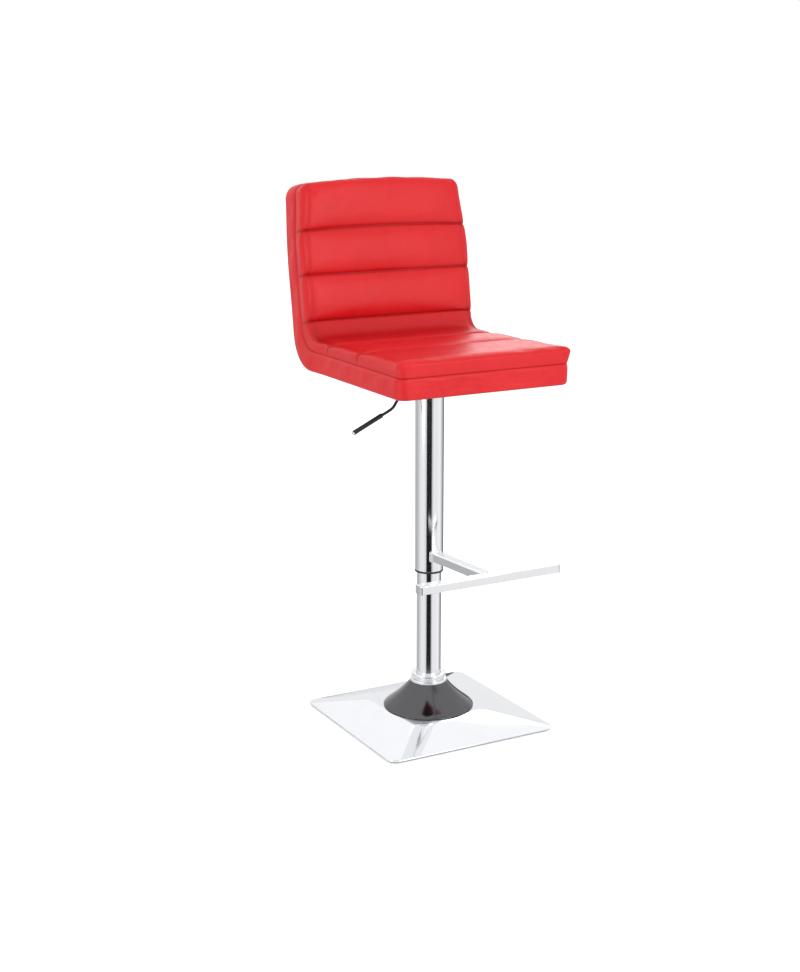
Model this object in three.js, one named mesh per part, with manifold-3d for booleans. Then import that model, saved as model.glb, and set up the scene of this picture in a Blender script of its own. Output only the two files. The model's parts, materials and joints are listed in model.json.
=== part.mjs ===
// Adjustable swivel stool: a padded one-piece seat and back on a gas-lift column with a T footrest.
// Millimetres, +Z up, the front is -Y, and the origin is on the floor on the column's axis.
import * as THREE from "three";
import { mergeVertices } from "three/addons/utils/BufferGeometryUtils.js";
import Module from "manifold-3d";

const wasm = await Module();
wasm.setup();

// ---- Clearances ----
const GAP = 0.3; // between pieces that don't move on each other
const RUN = 0.08; // all round a turning or sliding fit
const RADIUS_STEPS = 36; // facets round the tubes
const SMALL_STEPS = 16; // facets round small turned pieces

// ---- Base ----
const BASE_SIDE = 391;
const BASE_CORNER = 22;
const BASE_EDGE_TOP = 7;
const BASE_RISE = 22; // from the edge to the foot of the cone
const BASE_WALL = 1.8;
const BASE_HOLE_SPACE = 19; // from the lower tube to the edge of the plate's hole
const PAD_THICK = 2.5;
const PAD_INSET = 5;
const WEIGHT_R = 140;
const WEIGHT_THICK = 10;
const CONE_FOOT_R = 97;
const COLLAR_FOOT_WALL = 13;
const COLLAR_TOP_WALL = 10;
const CONE_HEIGHT = 55;
const CONE_WALL = 1.5;
const COLLAR_HEIGHT = 18;
const SLEEVE_WALL = 3;

// ---- Column ----
const LOWER_TUBE_R = 26;
const LOWER_TUBE_WALL = 1.5;
const LOWER_TUBE_FOOT = 15;
const TUBE_OVERLAP = 124; // of the two tubes with the seat at its highest
const COVER_TUBE_WALL = 1.5;
const TUBE_SPACE = 2.5; // between the two tubes
const COVER_TUBE_LENGTH = 375;
const BUSH_RING_HEIGHT = 4;
const BUSH_SLEEVE_HEIGHT = 26;
const GUIDE_LENGTH = 75;
const GUIDE_FLANGE = 4;
const CYLINDER_R = 14;
const CYLINDER_WALL = 1.7;
const CYLINDER_LENGTH = 351;
const CYLINDER_PROUD = 4.5; // above the web of the lever bracket
const TAPER_LENGTH = 40;
const TAPER_DROP = 0.8; // how much narrower the taper is at its top
const ROD_R = 5;
const ROD_FOOT = 6;
const PISTON_LIFT = 15; // from the cylinder's foot, at full height
const PISTON_HEIGHT = 12;
const SEAL_HEIGHT = 12;
const END_PLATE_THICK = 4;
const RACE_THICK = 2;
const BALL_R = 2.3;
const BALLS = 8;
const BEARING_R = 12;
const BUFFER_HEIGHT = 20;

// ---- Footrest ----
const FOOT_BAR_LENGTH = 322;
const FOOT_BAR_DEPTH = 22;
const FOOT_BAR_HEIGHT = 18;
const FOOT_BAR_LIFT = 33; // above the foot of the cover tube
const FOOT_BAR_REACH = 251; // from the column's axis to the bar's front
const FOOT_STEM_WIDTH = 24;
const FOOT_STEM_DROP = 9; // how much lower the stem is at the column
const FOOT_WALL = 1.6;
const FOOT_CAP_THICK = 2;

// ---- Seat ----
const SEAT_HEIGHT = 814; // at the front, with the seat at its highest
const SEAT_THICK = 72;
const SEAT_WIDTH = 388;
const SEAT_REACH = 222; // from the column's axis to the gusset's front
const SEAT_SLOPE = 1.3; // degrees, down towards the back
const BACK_HEIGHT = 316;
const BACK_RECLINE = 9; // degrees from upright
const BACK_GAUGE = 126; // above the seat: the height at which the next two are measured
const BACK_REACH = 176; // from the column's axis to the back's front face
const BACK_DEPTH = 77;
const INNER_BEND_R = 40;
const OUTER_BEND_R = 72;
const SKIN_THICK = 2.5;
const PLY_THICK = 12;
const GUSSET_DEPTH = 42;
const PAD_OVERHANG = 6; // how far the channelled pad stands proud of the gusset
const BEND_STEPS = 9;
const FRONT_CORNER_R = 18; // of the gusset, seen from above
const TOP_CORNER_R = 26; // of the gusset, seen from the front
const PAD_FRONT_R = 18;
const PAD_TOP_R = 16;
const TOP_ARCH = 10; // how much lower the back's top is at its sides
const ARCH_STEPS = 12;
const TOP_NARROWING = 9; // how far in each side leans by the back's top
const NARROWING_LENGTH = 105;

// ---- Mechanism under the seat ----
const PLATE_X = 190;
const PLATE_Y = 170;
const PLATE_THICK = 3;
const PLATE_CORNER = 12;
const BRACKET_HALF_WIDTH = 20;
const BRACKET_WALL = 2.5;
const BRACKET_OUT = -52;
const BRACKET_IN = 26;
const BRACKET_HEIGHT = 29.4;
const SOCKET_WALL = 5.5;
const SOCKET_LENGTH = 36;
const TUBE_RING_THICK = 4;
const TUBE_TO_BRACKET = 3;
const BOLT_R = 3;
const BOLT_SPACING_X = 150;
const BOLT_SPACING_Y = 130;
const BOLT_HEAD_R = 5.5;
const BOLT_HEAD_HEIGHT = 4;
const WASHER_R = 6.5;
const WASHER_THICK = 1.4;
const T_NUT_BARREL_R = 4.4;
const T_NUT_FLANGE_R = 9;
const T_NUT_FLANGE = 1.2;

// ---- Lever ----
const LEVER_R = 3;
const LEVER_DROP = 10.7; // below the seat plate
const LEVER_PIVOT_X = -40;
const LEVER_INNER_X = 1.5;
const LEVER_PIN_R = 1.5;
const GRIP_R = 4.8;
const GRIP_START = 0.66; // share of the lever's outer curve where the grip begins
const LEVER_STEPS = 28; // stretches along the lever
const BUTTON_R = 4;
const BUTTON_LENGTH = 25;

// ---- Finishes: colour, roughness, metalness ----
const finish = (color, roughness, metalness) =>
  new THREE.MeshStandardMaterial({ color, roughness, metalness });
const FINISH = {
  leatherette: finish(0xd8262c, 0.45, 0),
  chrome: finish(0xe6e8ec, 0.08, 1),
  darkChrome: finish(0x3a3b3f, 0.15, 1),
  steel: finish(0x9a9da1, 0.35, 1),
  blackSteel: finish(0x1b1b1d, 0.5, 0.4),
  blackPlastic: finish(0x151515, 0.5, 0),
  rubber: finish(0x101010, 0.9, 0),
  nylon: finish(0xd9d6cc, 0.55, 0),
  ply: finish(0xc9a77a, 0.7, 0),
  foam: finish(0xe9dfb8, 0.95, 0),
  dustCloth: finish(0x1c1c1e, 0.95, 0),
};

// ---- Sizes that follow from the lower tube ----
const COVER_TUBE_R = LOWER_TUBE_R + TUBE_SPACE + COVER_TUBE_WALL;
const BASE_HOLE_R = LOWER_TUBE_R + BASE_HOLE_SPACE;
const CONE_TOP_R = LOWER_TUBE_R + COLLAR_FOOT_WALL;
const COLLAR_TOP_R = LOWER_TUBE_R + COLLAR_TOP_WALL;

// ---- Heights that follow from the seat's height ----
const SEAT_BOTTOM = SEAT_HEIGHT - SEAT_THICK;
const PLATE_TOP = SEAT_BOTTOM - GAP;
const PLATE_BOTTOM = PLATE_TOP - PLATE_THICK;
const LEVER_Z = PLATE_BOTTOM - LEVER_DROP;
const BRACKET_TOP = PLATE_BOTTOM - GAP;
const BRACKET_WEB_BOTTOM = BRACKET_TOP - BRACKET_HEIGHT;
const CYLINDER_TOP = BRACKET_WEB_BOTTOM + BRACKET_WALL + CYLINDER_PROUD;
const CYLINDER_FOOT = CYLINDER_TOP - CYLINDER_LENGTH;
const ROD_TOP = CYLINDER_FOOT + PISTON_LIFT + PISTON_HEIGHT;
const COVER_TUBE_TOP = BRACKET_WEB_BOTTOM - TUBE_TO_BRACKET;
const COVER_TUBE_FOOT = COVER_TUBE_TOP - COVER_TUBE_LENGTH;
const LOWER_TUBE_TOP = COVER_TUBE_FOOT + TUBE_OVERLAP;
const FOOT_BAR_FOOT = COVER_TUBE_FOOT + FOOT_BAR_LIFT;
const BACK_TOP = SEAT_HEIGHT + BACK_HEIGHT;
const BACK_GAUGE_Z = SEAT_HEIGHT + BACK_GAUGE;

// ---- Shape helpers ----

// A bare geometry with shared corners joined and its faces turned outwards.
function sealed(geometry) {
  const bare = new THREE.BufferGeometry();
  const source = geometry.index ? geometry.toNonIndexed() : geometry;
  bare.setAttribute("position", source.getAttribute("position").clone());
  const merged = mergeVertices(bare, 1e-4);
  const p = merged.attributes.position;
  const index = merged.index.array;
  const [a, b, c] = [new THREE.Vector3(), new THREE.Vector3(), new THREE.Vector3()];
  let volume = 0;
  for (let i = 0; i < index.length; i += 3) {
    a.fromBufferAttribute(p, index[i]);
    b.fromBufferAttribute(p, index[i + 1]);
    c.fromBufferAttribute(p, index[i + 2]);
    volume += a.dot(b.cross(c));
  }
  if (volume < 0)
    for (let i = 0; i < index.length; i += 3) [index[i], index[i + 1]] = [index[i + 1], index[i]];
  return merged;
}

function toSolid(geometry) {
  const g = sealed(geometry);
  const vertProperties = g.attributes.position.array;
  return new wasm.Manifold(
    new wasm.Mesh({ numProp: 3, vertProperties, triVerts: new Uint32Array(g.index.array) }),
  );
}

function fromSolid(solid) {
  const { vertProperties, triVerts } = solid.getMesh();
  return new THREE.BufferGeometry()
    .setAttribute("position", new THREE.BufferAttribute(new Float32Array(vertProperties), 3))
    .setIndex(new THREE.BufferAttribute(new Uint32Array(triVerts), 1));
}

const cut = (body, ...tools) =>
  fromSolid(tools.reduce((rest, tool) => rest.subtract(toSolid(tool)), toSolid(body)));

const join = (body, ...more) =>
  fromSolid(more.reduce((sum, piece) => sum.add(toSolid(piece)), toSolid(body)));

// The radius of a faceted bore whose flats clear a shaft of radius r.
const bore = (r, clearance, steps = RADIUS_STEPS) => (r + clearance) / Math.cos(Math.PI / steps);

// A turned piece: [radius, z] corners of its section, which closes on itself.
function turned(section, steps = RADIUS_STEPS) {
  const points = [...section, section[0]].map(([r, z]) => new THREE.Vector2(r, z));
  return new THREE.LatheGeometry(points, steps).rotateX(Math.PI / 2);
}

const ring = (inner, outer, z0, z1, steps = RADIUS_STEPS) =>
  turned([[inner, z0], [outer, z0], [outer, z1], [inner, z1]], steps);

const disc = (r, z0, z1, steps = RADIUS_STEPS) =>
  new THREE.CylinderGeometry(r, r, z1 - z0, steps).rotateX(Math.PI / 2).translate(0, 0, (z0 + z1) / 2);

const box = (x0, x1, y0, y1, z0, z1) =>
  new THREE.BoxGeometry(x1 - x0, y1 - y0, z1 - z0).translate(
    (x0 + x1) / 2,
    (y0 + y1) / 2,
    (z0 + z1) / 2,
  );

function roundedRectangle(sizeX, sizeY, radius) {
  const x = sizeX / 2 - radius;
  const y = sizeY / 2 - radius;
  const outline = new THREE.Shape();
  outline.absarc(x, y, radius, 0, Math.PI / 2);
  outline.absarc(-x, y, radius, Math.PI / 2, Math.PI);
  outline.absarc(-x, -y, radius, Math.PI, 1.5 * Math.PI);
  outline.absarc(x, -y, radius, 1.5 * Math.PI, 2 * Math.PI);
  outline.closePath();
  return outline;
}

const plate = (outline, z0, z1, curveSegments = 6) =>
  new THREE.ExtrudeGeometry(outline, { depth: z1 - z0, bevelEnabled: false, curveSegments }).translate(
    0,
    0,
    z0,
  );

// Turns an extrusion of a (y, z) outline so that its depth lies along X, centred.
function acrossX(outline, halfWidth) {
  const g = new THREE.ExtrudeGeometry(outline, { depth: 2 * halfWidth, bevelEnabled: false });
  const turn = new THREE.Matrix4().makeBasis(
    new THREE.Vector3(0, 1, 0),
    new THREE.Vector3(0, 0, 1),
    new THREE.Vector3(1, 0, 0),
  );
  return g.translate(0, 0, -halfWidth).applyMatrix4(turn);
}

// A round bar along a curve.
function bar(curve, radius, steps) {
  const section = new THREE.Shape().absarc(0, 0, radius, 0, 2 * Math.PI);
  return new THREE.ExtrudeGeometry(section, { extrudePath: curve, steps, curveSegments: 6 });
}

const stool = new THREE.Group();
stool.name = "adjustable_swivel_stool";

function add(name, geometry, material) {
  const mesh = new THREE.Mesh(geometry, material);
  mesh.name = name;
  stool.add(mesh);
}

// ---- Base ----
const WEIGHT_FOOT = PAD_THICK + GAP;
const CONE_FOOT = BASE_EDGE_TOP + BASE_RISE + GAP;
const CONE_TOP = CONE_FOOT + CONE_HEIGHT;
const COLLAR_FOOT = CONE_TOP + GAP;
const COLLAR_TOP = COLLAR_FOOT + COLLAR_HEIGHT;

// The pressed plate: rings that blend from the square outline to the round hole, out and back.
function pressedPlate() {
  const square = roundedRectangle(BASE_SIDE, BASE_SIDE, BASE_CORNER).getPoints(5);
  const corners = square.slice(0, square.length - 1);
  const outline = corners.flatMap((p, i) => {
    const q = corners[(i + 1) % corners.length];
    const steps = p.distanceTo(q) > 2 * BASE_CORNER ? 6 : 1;
    return Array.from({ length: steps }, (_, k) => p.clone().lerp(q, k / steps));
  });
  // A ring at a share of the way in from the outline to the hole, inset by a wall.
  const ringAt = (share, inset, z) =>
    outline.map((p) => {
      const reach = p.length();
      const r = THREE.MathUtils.lerp(reach - inset, BASE_HOLE_R, share);
      return new THREE.Vector3((p.x / reach) * r, (p.y / reach) * r, z);
    });
  const rise = (share) => BASE_EDGE_TOP + BASE_RISE * Math.min(1, share / footShare);
  const footShare = (BASE_SIDE / 2 - CONE_FOOT_R) / (BASE_SIDE / 2 - BASE_HOLE_R);
  const lip = 2.2;
  const rings = [
    ringAt(0, BASE_WALL, WEIGHT_FOOT),
    ringAt(0, 0, WEIGHT_FOOT),
    ringAt(0, 0, BASE_EDGE_TOP - lip),
    ringAt(0, lip, BASE_EDGE_TOP),
    ringAt(footShare, lip, rise(1)),
    ringAt(1, 0, rise(1)),
    ringAt(1, 0, rise(1) - BASE_WALL),
    ringAt(footShare, lip, rise(1) - BASE_WALL),
    ringAt(0, lip + BASE_WALL, BASE_EDGE_TOP - BASE_WALL),
  ];
  const count = outline.length;
  const position = new Float32Array(rings.flat().flatMap((p) => [p.x, p.y, p.z]));
  const index = rings.flatMap((_, i) =>
    outline.flatMap((__, k) => {
      const [here, next] = [i * count, ((i + 1) % rings.length) * count];
      const after = (k + 1) % count;
      return [here + k, here + after, next + after, here + k, next + after, next + k];
    }),
  );
  const g = new THREE.BufferGeometry()
    .setAttribute("position", new THREE.BufferAttribute(position, 3))
    .setIndex(index);
  return sealed(g);
}

function buildBase() {
  const side = BASE_SIDE - 2 * PAD_INSET;
  const pad = roundedRectangle(side, side, BASE_CORNER - PAD_INSET);
  add("floor_pad", plate(pad, 0, PAD_THICK), FINISH.rubber);
  const sleeveInner = bore(LOWER_TUBE_R, GAP);
  const sleeveOuter = sleeveInner + SLEEVE_WALL;
  const weightTop = WEIGHT_FOOT + WEIGHT_THICK;
  add("base_weight", ring(bore(sleeveOuter, GAP), WEIGHT_R, WEIGHT_FOOT, weightTop), FINISH.steel);
  add("base_plate", pressedPlate(), FINISH.chrome);
  const cone = turned([
    [CONE_FOOT_R - CONE_WALL * 2, CONE_FOOT],
    [CONE_FOOT_R, CONE_FOOT],
    [CONE_TOP_R, CONE_TOP],
    [CONE_TOP_R - CONE_WALL * 2, CONE_TOP],
  ]);
  add("base_cone", cone, FINISH.darkChrome);
  add("hub_sleeve", ring(sleeveInner, sleeveOuter, WEIGHT_FOOT, CONE_TOP - 2), FINISH.steel);
  const step = COLLAR_FOOT + COLLAR_HEIGHT * 0.3;
  const collar = turned([
    [sleeveInner, COLLAR_FOOT],
    [CONE_TOP_R, COLLAR_FOOT],
    [CONE_TOP_R, step],
    [COLLAR_TOP_R - 0.6, step + 2],
    [COLLAR_TOP_R, COLLAR_TOP - 2],
    [COLLAR_TOP_R - 2, COLLAR_TOP],
    [sleeveInner, COLLAR_TOP],
  ]);
  add("collar_ring", collar, FINISH.chrome);
}

// ---- Column ----
const TUBE_INNER = LOWER_TUBE_R - LOWER_TUBE_WALL;
const COVER_INNER = COVER_TUBE_R - COVER_TUBE_WALL;
const CYLINDER_INNER = CYLINDER_R - CYLINDER_WALL;
const END_PLATE_TOP = LOWER_TUBE_FOOT + END_PLATE_THICK;
const RACE_LOW = END_PLATE_TOP + GAP;
const BALL_Z = RACE_LOW + RACE_THICK + GAP + BALL_R;
const RACE_HIGH = BALL_Z + BALL_R + GAP;

function buildLowerColumn() {
  const fitted = TUBE_INNER * Math.cos(Math.PI / RADIUS_STEPS) - GAP;
  add("lower_tube", ring(TUBE_INNER, LOWER_TUBE_R, LOWER_TUBE_FOOT, LOWER_TUBE_TOP), FINISH.chrome);
  const guideInner = bore(CYLINDER_R, RUN);
  const flange = LOWER_TUBE_TOP + GAP;
  const guide = turned([
    [guideInner, LOWER_TUBE_TOP - GUIDE_LENGTH],
    [fitted, LOWER_TUBE_TOP - GUIDE_LENGTH],
    [fitted, flange],
    [LOWER_TUBE_R, flange],
    [LOWER_TUBE_R, flange + GUIDE_FLANGE],
    [guideInner, flange + GUIDE_FLANGE],
  ]);
  add("guide_bush", guide, FINISH.nylon);
  const rodHole = bore(ROD_R, RUN, SMALL_STEPS);
  const endPlate = ring(rodHole, fitted, LOWER_TUBE_FOOT, END_PLATE_TOP, SMALL_STEPS * 2);
  add("column_end_plate", endPlate, FINISH.steel);
  const race = ring(rodHole, BEARING_R, RACE_LOW, RACE_LOW + RACE_THICK, SMALL_STEPS);
  add("bearing_race_lower", race, FINISH.steel);
}

// The cage and its balls, which run between the two races.
function buildBallCage() {
  const pitch = (ROD_R + BEARING_R) / 2 + 0.6;
  const half = BALL_R * 0.55;
  const cage = ring(pitch - BALL_R * 0.7, pitch + BALL_R * 0.7, BALL_Z - half, BALL_Z + half, SMALL_STEPS);
  const balls = Array.from({ length: BALLS }, (_, k) => {
    const turn = (2 * Math.PI * k) / BALLS;
    const ball = new THREE.SphereGeometry(BALL_R, 8, 6).rotateX(Math.PI / 2);
    return ball.translate(pitch * Math.cos(turn), pitch * Math.sin(turn), BALL_Z);
  });
  add("ball_cage", join(cage, ...balls), FINISH.steel);
}

// What turns with the seat but stays at its height: the rod and what holds it down.
function buildSpindle() {
  const onRod = bore(ROD_R, GAP, SMALL_STEPS);
  const collar = (name, r, z0, z1, material) =>
    add(name, ring(onRod, r, z0, z1, SMALL_STEPS), material);
  collar("bearing_race_upper", BEARING_R, RACE_HIGH, RACE_HIGH + RACE_THICK, FINISH.steel);
  const washer = RACE_HIGH + RACE_THICK + GAP;
  collar("thrust_washer", BEARING_R - 1, washer, washer + RACE_THICK, FINISH.steel);
  const buffer = washer + RACE_THICK + GAP;
  collar("rubber_buffer", BEARING_R, buffer, buffer + BUFFER_HEIGHT, FINISH.rubber);
  add("piston_rod", disc(ROD_R, ROD_FOOT, ROD_TOP, SMALL_STEPS), FINISH.steel);
  const pistonR = CYLINDER_INNER * Math.cos(Math.PI / RADIUS_STEPS) - RUN;
  const piston = ring(onRod, pistonR, ROD_TOP - PISTON_HEIGHT, ROD_TOP, RADIUS_STEPS);
  add("piston", piston, FINISH.steel);
  const rodWasherTop = LOWER_TUBE_FOOT - GAP;
  collar("rod_washer", BEARING_R - 1, rodWasherTop - RACE_THICK, rodWasherTop, FINISH.steel);
  const clipTop = rodWasherTop - RACE_THICK - GAP;
  const clipFoot = clipTop - 1.5;
  const slot = box(0, 2 * BEARING_R, -ROD_R * 0.6, ROD_R * 0.6, clipFoot - 1, clipTop + 1);
  const clip = cut(ring(onRod, ROD_R + 3.5, clipFoot, clipTop, SMALL_STEPS), slot);
  add("retaining_clip", clip, FINISH.steel);
}

// ---- What turns and rises ----
const SOCKET_TOP = BRACKET_WEB_BOTTOM - GAP;
const SOCKET_FOOT = SOCKET_TOP - SOCKET_LENGTH;
const TAPER_FOOT = CYLINDER_TOP - TAPER_LENGTH;
const SOCKET_R = CYLINDER_R + SOCKET_WALL;
const TAPER_TOP_R = CYLINDER_R - TAPER_DROP;

function buildGasCylinder() {
  const buttonHole = bore(BUTTON_R, RUN, SMALL_STEPS);
  const topInner = CYLINDER_TOP - 12;
  const cylinder = turned([
    [CYLINDER_INNER, CYLINDER_FOOT],
    [CYLINDER_R, CYLINDER_FOOT],
    [CYLINDER_R, TAPER_FOOT],
    [TAPER_TOP_R, CYLINDER_TOP],
    [buttonHole, CYLINDER_TOP],
    [buttonHole, topInner],
    [CYLINDER_INNER - 2, topInner],
    [CYLINDER_INNER, TAPER_FOOT],
  ]);
  add("gas_cylinder", cylinder, FINISH.blackSteel);
  const sealR = CYLINDER_INNER * Math.cos(Math.PI / RADIUS_STEPS) - GAP;
  const seal = ring(bore(ROD_R, RUN, SMALL_STEPS), sealR, CYLINDER_FOOT, CYLINDER_FOOT + SEAL_HEIGHT);
  add("cylinder_seal", seal, FINISH.blackPlastic);
}

function buildCoverTube() {
  add("cover_tube", ring(COVER_INNER, COVER_TUBE_R, COVER_TUBE_FOOT, COVER_TUBE_TOP), FINISH.chrome);
  const slide = bore(LOWER_TUBE_R, RUN);
  const fitted = COVER_INNER * Math.cos(Math.PI / RADIUS_STEPS) - GAP;
  const ringTop = COVER_TUBE_FOOT - GAP;
  const bush = turned([
    [slide, ringTop - BUSH_RING_HEIGHT],
    [COVER_TUBE_R, ringTop - BUSH_RING_HEIGHT],
    [COVER_TUBE_R, ringTop],
    [fitted, ringTop],
    [fitted, ringTop + BUSH_SLEEVE_HEIGHT],
    [slide, ringTop + BUSH_SLEEVE_HEIGHT],
  ]);
  add("cover_bush", bush, FINISH.blackPlastic);
  const ringFoot = COVER_TUBE_TOP - TUBE_RING_THICK;
  add("tube_top_ring", ring(bore(SOCKET_R, GAP), fitted, ringFoot, COVER_TUBE_TOP), FINISH.steel);
}

function buildFootrest() {
  const top = FOOT_BAR_FOOT + FOOT_BAR_HEIGHT;
  const barFront = -FOOT_BAR_REACH;
  const back = barFront + FOOT_BAR_DEPTH;
  const half = FOOT_BAR_LENGTH / 2 - FOOT_CAP_THICK - GAP;
  const solidBar = box(-half, half, barFront, back, FOOT_BAR_FOOT, top);
  const w = FOOT_WALL;
  const hollow = box(-half - 1, half + 1, barFront + w, back - w, FOOT_BAR_FOOT + w, top - w);
  add("footrest_bar", cut(solidBar, hollow), FINISH.chrome);
  const end = FOOT_BAR_LENGTH / 2;
  const cap = (x0, x1) => box(x0, x1, barFront, back, FOOT_BAR_FOOT, top);
  add("footrest_cap_left", cap(-end, -end + FOOT_CAP_THICK), FINISH.chrome);
  add("footrest_cap_right", cap(end - FOOT_CAP_THICK, end), FINISH.chrome);

  const rear = -COVER_TUBE_R * 0.8;
  const front = back + GAP;
  // The stem's side outline, inset by a wall, running a little past its ends when inset.
  const side = (inset, past) => {
    const slope = FOOT_STEM_DROP / (rear - front);
    const low = (y) => FOOT_BAR_FOOT - slope * (y - front) + inset;
    const high = (y) => top - slope * (y - front) - inset;
    const [y0, y1] = [front - past, rear + past];
    const outline = [[y0, low(y0)], [y1, low(y1)], [y1, high(y1)], [y0, high(y0)]];
    return new THREE.Shape(outline.map(([y, z]) => new THREE.Vector2(y, z)));
  };
  const tube = disc(bore(COVER_TUBE_R, GAP), FOOT_BAR_FOOT - 60, top + 60);
  const inside = acrossX(side(w, 1), FOOT_STEM_WIDTH / 2 - w);
  add("footrest_stem", cut(acrossX(side(0, 0), FOOT_STEM_WIDTH / 2), inside, tube), FINISH.chrome);
}

// The four bolts, numbered from the front left, at x and y.
const BOLT_PLACES = [-1, 1].flatMap((y) =>
  [-1, 1].map((x) => [(x * BOLT_SPACING_X) / 2, (y * BOLT_SPACING_Y) / 2]),
);
const WASHER_TOP = PLATE_BOTTOM - GAP;
const WASHER_FOOT = WASHER_TOP - WASHER_THICK;
const HEAD_TOP = WASHER_FOOT - GAP;
const PLY_BOTTOM = SEAT_BOTTOM + SKIN_THICK + GAP;
const PLY_TOP = PLY_BOTTOM + PLY_THICK;

const holesAt = (r, z0, z1) =>
  BOLT_PLACES.map(([x, y]) => disc(r, z0, z1, SMALL_STEPS).translate(x, y, 0));

function buildMechanism() {
  const boltHole = bore(BOLT_R, GAP, SMALL_STEPS);
  const blank = plate(roundedRectangle(PLATE_X, PLATE_Y, PLATE_CORNER), PLATE_BOTTOM, PLATE_TOP);
  add("seat_plate", cut(blank, ...holesAt(boltHole, PLATE_BOTTOM - 1, PLATE_TOP + 1)), FINISH.blackSteel);

  const taper = (z) => {
    const share = (z - TAPER_FOOT) / TAPER_LENGTH;
    return bore(THREE.MathUtils.lerp(CYLINDER_R, TAPER_TOP_R, Math.max(0, share)), GAP);
  };
  const socket = turned([
    [taper(SOCKET_FOOT), SOCKET_FOOT],
    [SOCKET_R, SOCKET_FOOT],
    [SOCKET_R, SOCKET_TOP],
    [taper(SOCKET_TOP), SOCKET_TOP],
    [taper(TAPER_FOOT), TAPER_FOOT],
  ]);
  add("taper_socket", socket, FINISH.blackSteel);

  const w = BRACKET_HALF_WIDTH;
  const webTop = BRACKET_WEB_BOTTOM + BRACKET_WALL;
  const channel = cut(
    box(BRACKET_OUT, BRACKET_IN, -w, w, BRACKET_WEB_BOTTOM, BRACKET_TOP),
    box(BRACKET_OUT - 1, BRACKET_IN + 1, BRACKET_WALL - w, w - BRACKET_WALL, webTop, BRACKET_TOP + 1),
    disc(bore(CYLINDER_R, GAP), BRACKET_WEB_BOTTOM - 1, webTop + 1),
    pinShape(bore(LEVER_PIN_R, GAP, SMALL_STEPS), w + 1),
  );
  add("lever_bracket", channel, FINISH.blackSteel);
  add("lever_pin", pinShape(LEVER_PIN_R, w + 2), FINISH.steel);
}

// A pin across the bracket at the lever's pivot.
const pinShape = (r, halfLength) =>
  new THREE.CylinderGeometry(r, r, 2 * halfLength, SMALL_STEPS).translate(LEVER_PIVOT_X, 0, LEVER_Z);

function buildFasteners() {
  const boltEnd = PLY_TOP - T_NUT_FLANGE - 2;
  BOLT_PLACES.forEach(([x, y], k) => {
    const head = disc(BOLT_HEAD_R, HEAD_TOP - BOLT_HEAD_HEIGHT, HEAD_TOP, 6);
    const shank = disc(BOLT_R, HEAD_TOP - 1, boltEnd, SMALL_STEPS);
    add(`seat_bolt_${k + 1}`, join(head, shank).translate(x, y, 0), FINISH.steel);
    const hole = bore(BOLT_R, GAP, SMALL_STEPS);
    const washer = ring(hole, WASHER_R, WASHER_FOOT, WASHER_TOP, SMALL_STEPS);
    add(`seat_washer_${k + 1}`, washer.translate(x, y, 0), FINISH.steel);
    const nutTop = PLY_TOP - GAP;
    const nut = turned(
      [
        [hole, PLY_BOTTOM + 2],
        [T_NUT_BARREL_R, PLY_BOTTOM + 2],
        [T_NUT_BARREL_R, nutTop - T_NUT_FLANGE],
        [T_NUT_FLANGE_R, nutTop - T_NUT_FLANGE],
        [T_NUT_FLANGE_R, nutTop],
        [hole, nutTop],
      ],
      SMALL_STEPS,
    );
    add(`t_nut_${k + 1}`, nut.translate(x, y, 0), FINISH.steel);
  });
}

// ---- Seat and back ----
const RECLINE = THREE.MathUtils.degToRad(BACK_RECLINE);
const backPoint = (gaugeY, z) => new THREE.Vector2(gaugeY + (z - BACK_GAUGE_Z) * Math.tan(RECLINE), z);

// Points along a face of the L: its front end, the bend's arc, then its top end.
function faceLine(front, slope, gaugeY, top, radius) {
  const along = new THREE.Vector2(Math.cos(slope), Math.sin(slope));
  const up = new THREE.Vector2(Math.sin(RECLINE), Math.cos(RECLINE));
  const foot = backPoint(gaugeY, front.y);
  // How far along the seat's line it meets the back's line.
  const reach = (foot.x - front.x) / (along.x - (along.y * up.x) / up.y);
  const corner = front.clone().addScaledVector(along, reach);
  const turn = Math.acos(along.dot(up));
  const tangent = radius * Math.tan(turn / 2);
  const centre = corner.clone().addScaledVector(along, -tangent);
  centre.add(new THREE.Vector2(-along.y, along.x).multiplyScalar(radius));
  const first = Math.atan2(along.y, along.x) - Math.PI / 2;
  const arc = Array.from({ length: BEND_STEPS + 1 }, (_, k) => {
    const a = first + (turn * k) / BEND_STEPS;
    return new THREE.Vector2(centre.x + radius * Math.cos(a), centre.y + radius * Math.sin(a));
  });
  return [front, ...arc, backPoint(gaugeY, top)];
}

const BACK_THICK = BACK_DEPTH * Math.cos(RECLINE);
const PAD_HALF_WIDTH = SEAT_WIDTH / 2;
const GUSSET_HALF_WIDTH = PAD_HALF_WIDTH - PAD_OVERHANG;
const SEATING_FACE = Infinity; // the depth of the face that is sat on and leant on

// The L's line at a depth from its outer face, shortened at its two ends.
function layerLine(depth, frontInset, topInset) {
  const seating = depth === SEATING_FACE;
  const slope = seating ? -THREE.MathUtils.degToRad(SEAT_SLOPE) : 0;
  const seatDepth = seating ? SEAT_THICK : depth;
  const backDepth = seating ? BACK_THICK : depth;
  const line = faceLine(
    new THREE.Vector2(-SEAT_REACH, SEAT_BOTTOM + seatDepth),
    slope,
    BACK_REACH + BACK_DEPTH - backDepth / Math.cos(RECLINE),
    BACK_TOP - (BACK_THICK - backDepth) * Math.sin(RECLINE),
    THREE.MathUtils.lerp(OUTER_BEND_R, INNER_BEND_R, seatDepth / SEAT_THICK),
  );
  const last = line.length - 1;
  line[0].x += frontInset;
  line[last].x -= topInset * Math.sin(RECLINE);
  line[last].y -= topInset * Math.cos(RECLINE);
  return line;
}

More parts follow.
